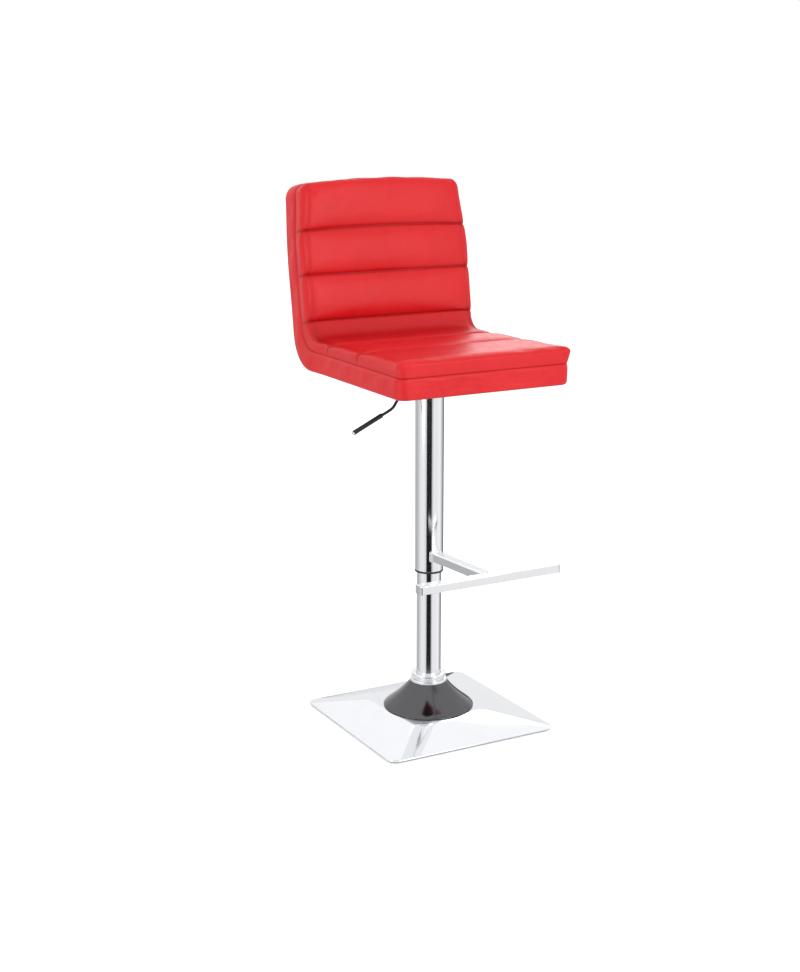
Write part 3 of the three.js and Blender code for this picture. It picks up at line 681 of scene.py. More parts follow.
def ripples(u: Array, v: Array, length: float, seed: int, waves: int = 9) -> Array:
    """A smooth uneven field: the sum of sine waves in seeded directions over the root of their number.

    Args:
        u: The first coordinate, in metres.
        v: The second coordinate, in metres.
        length: The middle wavelength, in metres.
        seed: The seed of the directions, lengths and phases.
        waves: How many waves.

    Returns:
        The field, in the shape of u and v.
    """
    draw = np.random.default_rng(seed)
    turn, phase = draw.uniform(-math.pi, math.pi, waves), draw.uniform(0, 2 * math.pi, waves)
    k = 2 * math.pi / (length * draw.uniform(0.7, 1.5, waves))
    u, v = np.asarray(u)[..., None], np.asarray(v)[..., None]
    return np.sin(k * (u * np.cos(turn) + v * np.sin(turn)) + phase).sum(-1) / math.sqrt(waves)


def ease(x: Array) -> Array:
    """A smooth step from 0 to 1."""
    x = np.clip(x, 0, 1)
    return x * x * (3 - 2 * x)


def box_of(node: str) -> tuple[Array, Array]:
    """The lowest and highest corner of a CAD node."""
    low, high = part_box(node)
    return np.array(low), np.array(high)


def reach_of(node: str) -> float:
    """How far a CAD node reaches along +X: a round one's radius, or a centred one's half width."""
    return float(box_of(node)[1][0])


def away_from(loop: Array) -> Array:
    """The direction square to a flat loop at each point, on its outside.

    Args:
        loop: Its points, anticlockwise.

    Returns:
        A unit vector for each.
    """
    ahead = unit(np.roll(loop, -1, axis=0) - np.roll(loop, 1, axis=0))
    return np.stack([ahead[:, 1], -ahead[:, 0]], axis=1)


def stacked(places: Array, outlines: Array) -> Array:
    """Outlines of (y, z) as rings of points, one at each place along x."""
    along = np.broadcast_to(places[:, None, None], (*outlines.shape[:2], 1))
    return np.concatenate([along, outlines], axis=-1)


# ---------------------------------------------------------------- upholstery


@dataclass(frozen=True)
class SeatLine:
    """The side line of the one-piece seat and back, as parallel layers between its two faces.

    A place on it is how far across, how far along the seating face from the front, and how deep,
    from 0 at the outer face to the thickness at the seating face. The gauge is a height at which the
    rear face's place is known. The top edge falls by the arch at arch_half from the middle, from
    arch_from up the back on; the back narrows by the taper from taper_from below its top on, over
    taper_over; and the bend is wider by the swell.
    """

    bottom: float
    front: float
    top: float
    thick: float = 0.072
    gusset: float = 0.042
    back_depth: float = 0.077
    gauge_z: float = 0.940
    gauge_rear: float = 0.253
    recline: float = math.radians(9)
    slope: float = math.radians(1.3)
    inner_bend: float = 0.040
    outer_bend: float = 0.072
    arch: float = 0.010
    arch_half: float = 0.188
    arch_from: float = 0.10
    taper: float = 0.054
    taper_from: float = 0.150
    taper_over: float = 0.170
    swell: float = 0.022

    def layer(self, depth: Array) -> dict[str, Array]:
        """The straight and bent stretches of one layer.

        Args:
            depth: The layer's depth from the outer face.

        Returns:
            Its slope, radius, turn, corner and lengths.
        """
        back_thick = self.back_depth * math.cos(self.recline)
        beyond = np.clip(depth - self.gusset, 0, None) / (self.thick - self.gusset)
        back = np.minimum(depth, self.gusset) + beyond * (back_thick - self.gusset)
        slope = -self.slope * beyond
        radius = self.outer_bend - (self.outer_bend - self.inner_bend) * depth / self.thick
        z0, lean = self.bottom + depth, math.tan(self.recline)
        rear = self.gauge_rear - back / math.cos(self.recline)
        run = (rear + (z0 - self.gauge_z) * lean - self.front) / (np.cos(slope) - np.sin(slope) * lean)
        corner = (self.front + run * np.cos(slope), z0 + run * np.sin(slope))
        turn = QUARTER - self.recline - slope
        cut = radius * np.tan(turn / 2)
        rise = (self.top - (back_thick - back) * math.sin(self.recline) - corner[1]) / math.cos(self.recline)
        return {"slope": slope, "radius": radius, "turn": turn, "y": corner[0], "z": corner[1],
                "cut": cut, "seat": run - cut, "arc": radius * turn, "back": rise - cut, "floor": z0}

    def lengths(self) -> tuple[float, float, float]:
        """The lengths of seat, bend and back along the seating face."""
        face = self.layer(np.array(self.thick))
        return float(face["seat"]), float(face["arc"]), float(face["back"])

    def place(self, across: Array, along: Array, depth: Array) -> Array:
        """Points from their place on the side line.

        The top edge is an arch and narrows a little, so both are bent in there first.

        Args:
            across: Distance from the middle.
            along: Distance along the seating face from the gusset's front.
            depth: Depth from the outer face.

        Returns:
            The points, in the last axis.
        """
        across, along, depth = np.broadcast_arrays(across, along, depth)
        seat, arc, back = self.lengths()
        high = ease((along - seat - arc - back + self.taper_from) / self.taper_over)
        curl = ease((along - seat - arc - self.arch_from) / (back - self.arch_from))
        low = ease((along - seat + 0.06) / (arc + 0.03))
        leaning = 0.3 + 0.7 * np.clip(depth / self.thick, 0, 1) ** 1.5
        width = across * (1 + self.swell * low * (1 - high) - self.taper * high * leaning)
        along = along - self.arch * (across / self.arch_half) ** 2 * curl
        inside = np.clip(depth, 0, self.thick)
        s = self.layer(inside)
        share = np.clip((along - seat) / arc, 0, 1)
        heading = s["slope"] + s["turn"] * share
        on_seat = np.where(along < 0, along, along * s["seat"] / seat)
        on_seat = np.minimum(on_seat, s["seat"])
        up = np.clip(along - seat - arc, 0, None)
        on_back = np.where(up > back, s["back"] + up - back, up * s["back"] / back)
        cos, sin = np.cos(s["slope"]), np.sin(s["slope"])
        centre_y = s["y"] - s["cut"] * cos - s["radius"] * sin
        centre_z = s["z"] - s["cut"] * sin + s["radius"] * cos
        y = centre_y + s["radius"] * np.sin(heading) + on_back * math.sin(self.recline)
        z = centre_z - s["radius"] * np.cos(heading) + on_back * math.cos(self.recline)
        y = np.where(share > 0, y, self.front + on_seat * cos)
        z = np.where(share > 0, z, s["floor"] + on_seat * sin)
        proud = depth - inside
        return np.stack([width, y - proud * np.sin(heading), z + proud * np.cos(heading)], axis=-1)


@dataclass(frozen=True)
class Lid:
    """A cover laid on a block: flat, rolled over the edge, then down the side to its sewn border.

    The side's corners are round in plan. Near one, a point's way past the flat is the larger of its
    two, and the smaller one over it gives the angle round the corner.
    """

    half_width: float
    start: float
    end: float
    roll_out: float
    roll_down: float
    drop: float
    pull_in: float
    start_corner: float
    end_corner: float

    @property
    def roll(self) -> float:
        """The length over the rolled edge, a quarter of an ellipse."""
        return QUARTER * math.sqrt((self.roll_out**2 + self.roll_down**2) / 2)

    @property
    def side(self) -> float:
        """The length down the side below the roll."""
        return self.drop - self.roll_down

    def lines(self, seams: Sequence[float], pitch: float) -> tuple[Array, Array]:
        """Where the grid lines run across and along, closer together at edges and seams.

        Args:
            seams: Places along the cover that a line has to hit.
            pitch: The distance between lines.

        Returns:
            The lines across and the lines along.
        """
        past = self.roll + self.side
        flat = self.half_width - self.roll_out
        across = spaced([-flat - past, -flat - self.roll, -flat, flat, flat + self.roll, flat + past], pitch)
        first, last = self.start + self.roll_out, self.end - self.roll_out
        marks = [first - past, first - self.roll, first, *seams, last, last + self.roll, last + past]
        return across, spaced(marks, pitch)

    def spread(self, across: Array, along: Array) -> tuple[Array, Array, Array]:
        """Where each point of the unrolled cover comes to lie.

        Args:
            across: Distance from the middle on the unrolled cover.
            along: Distance along the unrolled cover.

        Returns:
            Distance across, distance along and how far down from the flat.
        """
        low = along < (self.start + self.end) / 2
        extra = np.where(low, self.start_corner, self.end_corner) - self.roll_out
        flat = self.half_width - self.roll_out - extra
        first, last = self.start + self.roll_out + extra, self.end - self.roll_out - extra
        past_x = np.clip(np.abs(across) - flat, 0, None)
        past_y = np.where(low, np.clip(first - along, 0, None), np.clip(along - last, 0, None))
        far, near = np.maximum(past_x, past_y), np.minimum(past_x, past_y)
        turn = math.pi / 4 * near / np.maximum(far, 1e-9)
        turn = np.where(past_x >= past_y, turn, QUARTER - turn)
        over = np.clip((far - extra) / self.roll, 0, 1) * QUARTER
        below = np.clip((far - extra - self.roll) / max(self.side, 1e-9), 0, 1)
        out = np.minimum(far, extra) + self.roll_out * np.sin(over) - self.pull_in * below**2
        down = self.roll_down * (1 - np.cos(over)) + self.side * below
        x = np.sign(across) * (np.minimum(np.abs(across), flat) + out * np.cos(turn))
        edge = np.clip(along, first, last)
        return x, edge + np.where(low, -1, 1) * out * np.sin(turn), down


def spaced(marks: Sequence[float], pitch: float, pinch: float = 0.8) -> Array:
    """Lines that hit every mark and crowd towards it: u - pinch sin(2 pi u) / (2 pi) in each gap.

    Args:
        marks: The places that a line has to hit, in rising order.
        pitch: The distance between lines.
        pinch: How strongly they crowd, from 0 to 1.

    Returns:
        The places of all lines.
    """
    gaps = []
    for low, high in zip(marks[:-1], marks[1:]):
        count = max(4, round((high - low) / pitch))
        u = np.arange(count) / count
        gaps.append(low + (high - low) * (u - pinch * np.sin(2 * math.pi * u) / (2 * math.pi)))
    return np.concatenate([*gaps, [marks[-1]]])


def outward(points: Array) -> Array:
    """The unit normal of a grid at each point: the first direction crossed with the second."""
    return unit(np.cross(np.gradient(points, axis=0), np.gradient(points, axis=1)))


def keep_value(piece: bpy.types.Object, name: str, values: Array) -> None:
    """Stores a value at each point of a piece under that name."""
    layer = piece.data.attributes.new(name, "FLOAT", "POINT")
    layer.data.foreach_set("value", values.astype(np.float32).ravel())


def inflate(piece: bpy.types.Object, sewn: Array, pressure: float, cap: float, slack: float,
            frames: int = 20) -> None:
    """Lets the cover fill like cloth over foam between its sewn lines, then keeps that shape.

    Args:
        piece: The cover, before its thickness.
        sewn: Which points the thread holds.
        pressure: The cloth's pressure.
        cap: How far a point may move.
        slack: How much longer the cloth is cut than its rest shape, as a share.
        frames: Steps of the simulation.
    """
    scene = bpy.context.scene
    group = piece.vertex_groups.new(name="sewn")
    group.add(np.flatnonzero(sewn).tolist(), 1.0, "REPLACE")
    rest = np.empty(len(piece.data.vertices) * 3, np.float32)
    piece.data.vertices.foreach_get("co", rest)
    cloth = piece.modifiers.new("fill", "CLOTH")
    settings = cloth.settings
    settings.vertex_group_mass = group.name
    settings.use_pressure, settings.uniform_pressure_force = True, pressure
    settings.effector_weights.gravity = 0
    settings.quality, settings.mass = 6, 0.3
    settings.tension_stiffness = settings.compression_stiffness = 18
    settings.shear_stiffness, settings.bending_stiffness = 12, 6.0
    settings.shrink_min = -slack
    cloth.collision_settings.use_collision = False
    cloth.point_cache.frame_start, cloth.point_cache.frame_end = 1, frames
    for step in range(1, frames + 1):
        scene.frame_set(step)
    shown = piece.evaluated_get(bpy.context.evaluated_depsgraph_get())
    filled = np.empty_like(rest)
    shown.data.vertices.foreach_get("co", filled)
    piece.modifiers.remove(cloth)
    piece.vertex_groups.remove(group)
    scene.frame_set(1)
    move = (filled - rest).reshape(-1, 3)
    length = np.linalg.norm(move, axis=1, keepdims=True)
    move *= cap * np.tanh(length / cap) / np.maximum(length, 1e-9)
    piece.data.vertices.foreach_set("co", rest + move.ravel())
    piece.data.update()
    LOG.info("%s filled, moving up to %.1f mm", piece.name, 1000 * float(length.max()))


def thicken(piece: bpy.types.Object, wall: float) -> None:
    """Gives a cover its thickness inwards, and rounds it with one subdivision.

    Args:
        piece: The cover.
        wall: Its thickness.
    """
    solid = piece.modifiers.new("wall", "SOLIDIFY")
    solid.thickness, solid.offset = wall, -1
    rounder = piece.modifiers.new("round", "SUBSURF")
    rounder.levels = rounder.render_levels = 1


def stitches(path: Array, normal: Array, pitch: float = 0.0042, length: float = 0.0032,
             radius: float = 0.00036) -> tuple[Array, Array]:
    """A row of stitches along a path, each of them a spindle.

    It is as thick as the radius times the root of sin a at -cos a of half its length from its middle.

    Args:
        path: Points along the sewn line.
        normal: The way out of the cloth at each point.
        pitch: From one stitch to the next.
        length: The length of a stitch.
        radius: Its half thickness.

    Returns:
        The points and faces of the row.
    """
    total = float(np.linalg.norm(np.diff(path, axis=0), axis=1).sum())
    count = max(2, int(total / pitch))
    data = resampled(np.concatenate([path, normal], axis=1), count * 2 + 1)[1::2]
    middle, out = data[:, :3], unit(data[:, 3:])
    heading = unit(np.gradient(middle, axis=0))
    side = np.cross(heading, out)
    a = np.linspace(0, math.pi, 6)
    turn = np.linspace(0, 2 * math.pi, 6, endpoint=False)
    thick = radius * np.sqrt(np.sin(a))[None, :, None, None]
    middle, out, heading, side = (v[:, None, None] for v in (middle, out, heading, side))
    across = np.cos(turn)[None, None, :, None] * side + np.sin(turn)[None, None, :, None] * out
    sag = (np.sin(a) - 0.6)[None, :, None, None] * radius
    points = middle - np.cos(a)[None, :, None, None] * heading * length / 2 + thick * across + sag * out
    one = grid_faces(6, 6, False, True)
    faces = one[None] + (np.arange(count) * 36)[:, None, None]
    return points, faces.reshape(-1, 4)


@dataclass
class Upholstery:
    """The leatherette cover in its pieces, the lining under the seat, and their threads.

    A groove is a channel's depth and a crown how far its panel stands up. The rim is the shallow line
    that runs beside the pad's edge, a pucker a small crease that runs into a seam, and an ear one of
    the pinched front corners, which is pulled by so much in x, along and up. The band's section goes
    from its seam down, as height from the seam and distance out.
    """

    line: SeatLine = field(default_factory=lambda: Upholstery.measured())
    seam_seat: tuple[float, float] = (0.164, 0.292)
    seam_back: tuple[float, float, float] = (0.4036, 0.4987, 0.5939)
    pitch: float = 0.0066
    wall: float = 0.0011
    groove: float = 0.0050
    crown: float = 0.0026
    edge: float = 0.007
    rim_inset: float = 0.0130
    rim_width: float = 0.0055
    rim_depth: float = 0.0020
    pucker: float = 0.00010
    pucker_pitch: float = 0.0165
    ripple: float = 0.00030
    ear: tuple[float, float, float] = (0.0065, -0.0020, 0.0015)
    ear_reach: float = 0.016
    bend_shade: float = 0.80
    bend_reach: float = 0.046
    band: tuple[tuple[float, float], ...] = (
        (0.0016, -0.0125), (0.0010, -0.0050), (-0.0010, -0.0012), (-0.0040, 0.0001),
        (-0.010, 0.0006), (-0.016, 0.0007), (-0.022, 0.0006), (-0.028, 0.0004),
    )
    hem: float = 0.006

    @staticmethod
    def measured() -> SeatLine:
        """The side line at the place and height that the CAD nodes give."""
        under, gusset, pad = box_of("dust_cover"), box_of("side_gusset"), box_of("channel_pad")
        return SeatLine(bottom=float(under[0][2]), front=float(gusset[0][1]), top=float(pad[1][2]))

    @property
    def seams(self) -> tuple[float, ...]:
        """Every channel seam, from the front to the top."""
        return self.seam_seat + self.seam_back

    @property
    def length(self) -> float:
        """The whole length along the seating face."""
        return sum(self.line.lengths())

    def channels(self, along: Array) -> tuple[Array, Array]:
        """How deep each point lies in a channel, and how full its panel is there.

        A channel falls off as exp(-gap / width), and a panel's fullness is its arch, which is 1 in
        the middle and 0 at its seams, to the power 0.45.

        Args:
            along: Distance along the seating face.

        Returns:
            Both shares, from 0 to 1.
        """
        seams = np.array(self.seams)
        gap = np.abs(along[..., None] - seams).min(-1)
        marks = np.array([-0.012, *seams, self.length + 0.006])
        panel = np.clip(np.searchsorted(marks, along) - 1, 0, len(marks) - 2)
        share = (along - marks[panel]) / (marks[panel + 1] - marks[panel])
        return np.exp(-gap / 0.0034), np.clip(1 - (2 * share - 1) ** 2, 0, 1) ** 0.45

    def puckers(self, x: Array, b: Array) -> Array:
        """Small creases that run into each seam: exp(-gap / 10 mm) times a sine that wanders across.

        Args:
            x: Distance across.
            b: Distance along.

        Returns:
            Their height, from about -1 to 1.
        """
        turns = [x / self.pucker_pitch + 0.6 * np.sin(x / 0.047 + seam) for seam in self.seams]
        return sum(np.exp(-np.abs(b - seam) / 0.010) * np.sin(2 * math.pi * turn)
                   for seam, turn in zip(self.seams, turns))

    def relief(self, x: Array, b: Array, down: Array, inset: Array, top: Array, rim: Array) -> Array:
        """How far the pad's cover stands off its smooth base.

        Full panels, puckers and ripples lie on its top, broad ripples on its side; the grooves run
        over both, and all of it fades out before the sewn border.

        Args:
            x: Distance across.
            b: Distance along.
            down: Distance down from the top.
            inset: Distance in from the cover's edge.
            top: The share of the top.
            rim: The share of the rim.

        Returns:
            The height at each point.
        """
        groove, full = self.channels(b)
        side = ease(down / self.edge) * (1 - ease((down - 0.018) / 0.010))
        raised = self.crown * full * top * (0.35 + 0.65 * ease(inset / 0.030))
        raised += top * (self.pucker * self.puckers(x, b) + self.ripple * ripples(x, b, 0.090, 3) * full)
        raised += side * 0.0004 * (1 + ripples(b, x, 0.070, 5))
        raised -= self.groove * groove * (0.45 + 0.55 * top) * (1 - ease((down - 0.014) / 0.014))
        raised -= self.rim_depth * rim
        return raised * (1 - ease((down - 0.022) / 0.008))

    def shade(self, b: Array, down: Array, gap: Array, top: Array, rim: Array) -> Array:
        """Painted shade on the pad's cover: darker at the seams, in the bend, along the rim and at the border
        where it tucks under.

        Args:
            b: Distance along.
            down: Distance down from the top.
            gap: Distance to the nearest seam.
            top: The share of the top.
            rim: The share of the rim.

        Returns:
            The share of the painted shade colour, from 0 to 1.
        """
        # Painted shade: darker where the border tucks under, in the bend between seat and back, along the rim
        # groove, and in and beside each seam.
        tuck = ease((down - 0.0265) / 0.0035)
        bend = self.line.lengths()[0] + 0.010
        # Painted shade in the bend and along the rim.
        wear_and_painted_shade = self.bend_shade * np.exp(-((b - bend) / self.bend_reach) ** 2) * top + 0.25 * rim
        sewn = 0.75 * np.exp(-(gap / 0.0030) ** 2) + 0.25 * np.exp(-gap / 0.009)
        sewn = sewn * (1 - ease((down - 0.016) / 0.012))
        return np.clip(np.maximum(sewn, 0.8 * tuck) + wear_and_painted_shade, 0, 1)

    def pad(self) -> bpy.types.Object:
        """The channelled cover of seat and back, over its edge down to the gusset.

        Returns:
            The piece.
        """
        low, high = box_of("channel_pad")
        half, start = float(high[0]), float(low[1]) - self.line.front
        lid = Lid(half_width=half, start=start, end=self.length + 0.001, roll_out=0.008, roll_down=0.0065,
                  drop=self.line.thick - self.line.gusset, pull_in=0.0030, start_corner=0.019,
                  end_corner=0.017)
        u, v = np.meshgrid(*lid.lines(self.seams, self.pitch), indexing="ij")
        x, b, down = lid.spread(u, v)
        inset, top = half - np.abs(x), 1 - ease(down / self.edge)
        rim = np.exp(-((inset - self.rim_inset) / self.rim_width) ** 2) * ease((b - 0.02) / 0.05) * top
        base = self.line.place(x, b, self.line.thick - down)
        points = base + outward(base) * self.relief(x, b, down, inset, top, rim)[..., None]
        corner = np.exp(-((np.abs(x) - half) ** 2 + (b - start) ** 2) / self.ear_reach**2)
        corner = corner * (1 - ease((down - 0.012) / 0.014))
        pull = [self.ear[0] * np.sign(x), self.ear[1] + 0 * x, self.ear[2] + 0 * x]
        points += corner[..., None] * np.stack(pull, axis=-1)
        piece = mesh_piece("pad_cover", points, grid_faces(*u.shape, False, False), Finish.LEATHERETTE,
                           Body.CARRIAGE, closed=False)
        gap = np.abs(b[..., None] - np.array(self.seams)).min(-1)
        # The cover carries its painted shade as a point value.
        keep_value(piece, "painted_shade", self.shade(b, down, gap, top, rim))
        held = (gap < 0.0004).ravel() | (down > 0.024).ravel()
        inflate(piece, held, pressure=3.0, cap=0.0030, slack=0.001)
        thicken(piece, self.wall)
        return stand_for(piece, "padded_leatherette", "channel_pad")

    def ring(self, half: float, start: float, end: float, corners: Sequence[float], count: int) -> Array:
        """A rounded rectangle as evenly spaced points (across, along).

        Args:
            half: Half its width.
            start: Its near end.
            end: Its far end.
            corners: The radii of its four corners.
            count: How many points.

        Returns:
            The points.
        """
        shape = filleted([[-half, start], [half, start], [half, end], [-half, end]], corners, 14)
        return resampled(shape, count, closed=True)

    def gusset(self) -> bpy.types.Object:
        """The band round the sides, front and top, sewn to the pad cover and turned under.

        Returns:
            The piece.
        """
        half = reach_of("side_gusset")
        loop = self.ring(half + 0.0045, -0.0035, self.length + 0.0015, [0.020, 0.020, 0.022, 0.022], 400)
        away = away_from(loop)
        seam, hem = self.line.gusset, self.hem
        turn = np.linspace(0, QUARTER, 6)
        from_seam, bulge = np.array(self.band).T
        out = np.concatenate([bulge, [0.0002], -hem * (1 - np.cos(turn)), [-hem - 0.009, -hem - 0.019]])
        depth = np.concatenate([seam + from_seam, [hem + 0.0015], hem * (1 - np.sin(turn)), [0.0004, 0.0008]])
        flank = ease(depth / 0.010) * (1 - ease((depth - seam + 0.008) / 0.006))
        run = np.linspace(0, 2.1, len(loop))[:, None]
        front = (1 - ease((loop[:, 1:] - 0.004) / 0.02)) * ease((half - np.abs(loop[:, :1]) - 0.004) / 0.03)
        creases = np.sin(2 * math.pi * (depth[None] / 0.0125) + 2.6 * ripples(run, 0 * run, 0.16, 8))
        uneven = 0.00045 * ripples(run, depth[None], 0.090, 11) + 0.00080 * front * creases
        out = out[None] + flank[None] * uneven
        x = loop[:, :1] + away[:, :1] * out
        b = loop[:, 1:] + away[:, 1:] * out
        points = self.line.place(x, b, np.broadcast_to(depth, x.shape))
        piece = mesh_piece("side_band", points, grid_faces(*x.shape, True, False), Finish.LEATHERETTE,
                           Body.CARRIAGE, closed=False)
        # Painted shade along the band's top by its seam, lighter towards the front.
        painted_shade = np.where(depth > seam - 0.0005, 0.9, 0.0)
        keep_value(piece, "painted_shade", np.broadcast_to(painted_shade, x.shape) * (1 - 0.75 * front))
        held = np.broadcast_to((depth > seam - 0.003) | (depth < 0.009), x.shape)
        inflate(piece, held.ravel(), pressure=2.5, cap=0.0018, slack=0.002)
        thicken(piece, self.wall)
        return stand_for(piece, "leatherette_red", "side_gusset")

    def rear(self) -> bpy.types.Object:
        """The cover of the back's rear and the bend, with a turned edge and a slight crown.

        Returns:
            The piece.
        """
        seat = self.line.lengths()[0]
        half = reach_of("rear_panel") - 0.006
        lid = Lid(half_width=half, start=seat - 0.012, end=self.length - 0.009, roll_out=0.005,
                  roll_down=0.0035, drop=0.006, pull_in=0.001, start_corner=0.010, end_corner=0.026)
        across, along = lid.lines([seat + 0.05, seat + 0.16], 0.0085)
        u, v = np.meshgrid(across[::-1], along, indexing="ij")
        x, b, down = lid.spread(u, v)
        base = self.line.place(x, b, down)
        inset = ease((half - np.abs(x)) / 0.07) * ease((self.length - 0.012 - b) / 0.09)
        inset = inset * ease((b - seat + 0.012) / 0.09)
        raised = 0.0016 + 0.0030 * inset * (1 - ease(down / 0.003))
        raised = raised + 0.0007 * inset * ripples(x, b, 0.110, 21)
        points = base + outward(base) * raised[..., None]
        piece = mesh_piece("rear_cover", points, grid_faces(*u.shape, False, False), Finish.LEATHERETTE,
                           Body.CARRIAGE, closed=False)
        # Painted shade where the cover turns down over its edge.
        keep_value(piece, "painted_shade", 0.8 * ease((down - 0.0042) / 0.0018))
        inflate(piece, (down > 0.0030).ravel(), pressure=1.5, cap=0.0030, slack=0.001)
        thicken(piece, self.wall)
        return stand_for(piece, "leatherette_red", "rear_panel")

    def threads(self) -> bpy.types.Object:
        """The stitches along the channels and round the rear cover.

        Returns:
            The piece.
        """
        rows = []
        half = reach_of("channel_pad") - 0.014
        x = np.linspace(-half, half, 60)
        for seam in self.seams:
            lift = self.line.place(x, np.full_like(x, seam), np.full_like(x, self.line.thick - self.groove))
            over = self.line.place(x, np.full_like(x, seam), np.full_like(x, self.line.thick))
            rows.append(stitches(lift + 0.0004 * unit(over - lift), over - lift))
        seat = self.line.lengths()[0]
        edge = reach_of("rear_panel") - 0.0135
        loop = self.ring(edge, seat - 0.004, self.length - 0.017, [0.004, 0.004, 0.020, 0.020], 360)
        under = self.line.place(loop[:, 0], loop[:, 1], np.full(len(loop), 0.001))
        face = self.line.place(loop[:, 0], loop[:, 1], np.full(len(loop), -0.0022))
        rows.append(stitches(face, face - under, pitch=0.0052, length=0.0040))
        points, faces = joined(*rows)
        piece = mesh_piece("seam_threads", points, faces, Finish.THREAD, Body.CARRIAGE)
        return stand_for(piece, "leatherette_red")

    def lining(self) -> bpy.types.Object:
        """The lining stapled under the seat, and its hem and staples.

        It hangs a little between the seat plate and its border: 1.5 mm times a squared sine.

        Returns:
            The lining.
        """
        low, high = box_of("dust_cover")
        plate_low, plate_high = box_of("seat_plate")
        half = float(high[0]) - 0.014
        y0, y1 = float(low[1]) + 0.014, float(high[1]) - 0.010
        x, y = np.meshgrid(np.linspace(half, -half, 73), np.linspace(y0, y1, 77), indexing="ij")
        gap_x = np.maximum(plate_low[0] - x, x - plate_high[0])
        gap_y = np.maximum(plate_low[1] - y, y - plate_high[1])
        from_plate = np.clip(np.maximum(gap_x, gap_y), 0, None)
        from_edge = np.minimum(half - np.abs(x), np.minimum(y - y0, y1 - y))
        loose = np.sin(math.pi * from_plate / np.maximum(from_plate + from_edge, 1e-6)) ** 2
        z = float(low[2]) + 0.0002 - 0.0015 * loose * (1 + 0.3 * ripples(x, y, 0.08, 31))
        points = np.stack([x, y, z], axis=-1)
        piece = mesh_piece("seat_lining", points, grid_faces(*x.shape, False, False), Finish.DUST_CLOTH,
                           Body.CARRIAGE, closed=False)
        cloth = piece.modifiers.new("wall", "SOLIDIFY")
        cloth.thickness, cloth.offset = 0.0004, -1
        stand_for(piece, "dust_cloth", "dust_cover")
        turned_in = 0.0055
        ring = self.ring(half - turned_in, 0.0, y1 - y0, [0.004] * 4, 200) + [0, y0]
        ring[:, 1] = np.clip(ring[:, 1], y0 + turned_in, y1 - turned_in)
        hem = self.strip(ring, turned_in, float(low[2]))
        hem = mesh_piece("lining_hem", *hem, Finish.DUST_CLOTH, Body.CARRIAGE)
        stand_for(hem, "dust_cloth")
        staples = self.staples(ring, float(low[2]) - 0.0006)
        staples = mesh_piece("lining_staples", *staples, Finish.STEEL, Body.CARRIAGE)
        stand_for(staples, "steel")
        return piece

    @staticmethod
    def strip(ring: Array, half: float, z: float) -> tuple[Array, Array]:
        """A flat folded strip along a loop, about 0.5 mm thick.

        Args:
            ring: Points along its middle.
            half: Half its width.
            z: The height that it hangs from.

        Returns:
            Its points and faces.
        """
        side = np.array([-half, 0, half, half, 0, -half])
        height = z + np.array([-0.0002, -0.0004, -0.0002, -0.0006, -0.0007, -0.0006])
        flat = ring[:, None] + away_from(ring)[:, None] * side[None, :, None]
        level = np.broadcast_to(height[None, :, None], (*flat.shape[:2], 1))
        return np.concatenate([flat, level], axis=-1), grid_faces(len(ring), len(side), True, True)

    @staticmethod
    def staples(ring: Array, z: float) -> tuple[Array, Array]:
        """Flat wire staples along a loop, one at every fifth point of it.

        Args:
            ring: Points along the loop.
            z: The height of the staples' backs.

        Returns:
            Their points and faces.
        """
        place = ring[2::5]
        ahead = unit((np.roll(ring, -1, axis=0) - np.roll(ring, 1, axis=0))[2::5])
        t = np.array([-1, -0.97, -0.8, 0, 0.8, 0.97, 1.0])
        drop = np.array([0.0012, 0.0002, 0, 0, 0, 0.0002, 0.0012])
        turn = np.linspace(0, 2 * math.pi, 6, endpoint=False)
        middle = np.concatenate([place[:, None] + ahead[:, None] * t[None, :, None] * 0.0050,
                                 np.broadcast_to((z + drop)[None, :, None], (len(place), 7, 1))], axis=-1)
        side = np.stack([-ahead[:, 1], ahead[:, 0], np.zeros(len(ahead))], axis=1)[:, None, None]
        ring_points = middle[:, :, None] + 0.0006 * np.cos(turn)[None, None, :, None] * side
        ring_points = ring_points + 0.0004 * np.sin(turn)[None, None, :, None] * np.array([0, 0, 1.0])
        faces = grid_faces(7, 6, False, True)[None] + (np.arange(len(place)) * 42)[:, None, None]
        return ring_points, faces.reshape(-1, 4)

    def build(self) -> None:
        """Makes every piece of the upholstery."""
        for make in (self.pad, self.gusset, self.rear, self.threads, self.lining):
            LOG.info("made %s", make().name)


# ---------------------------------------------------------------- base and column


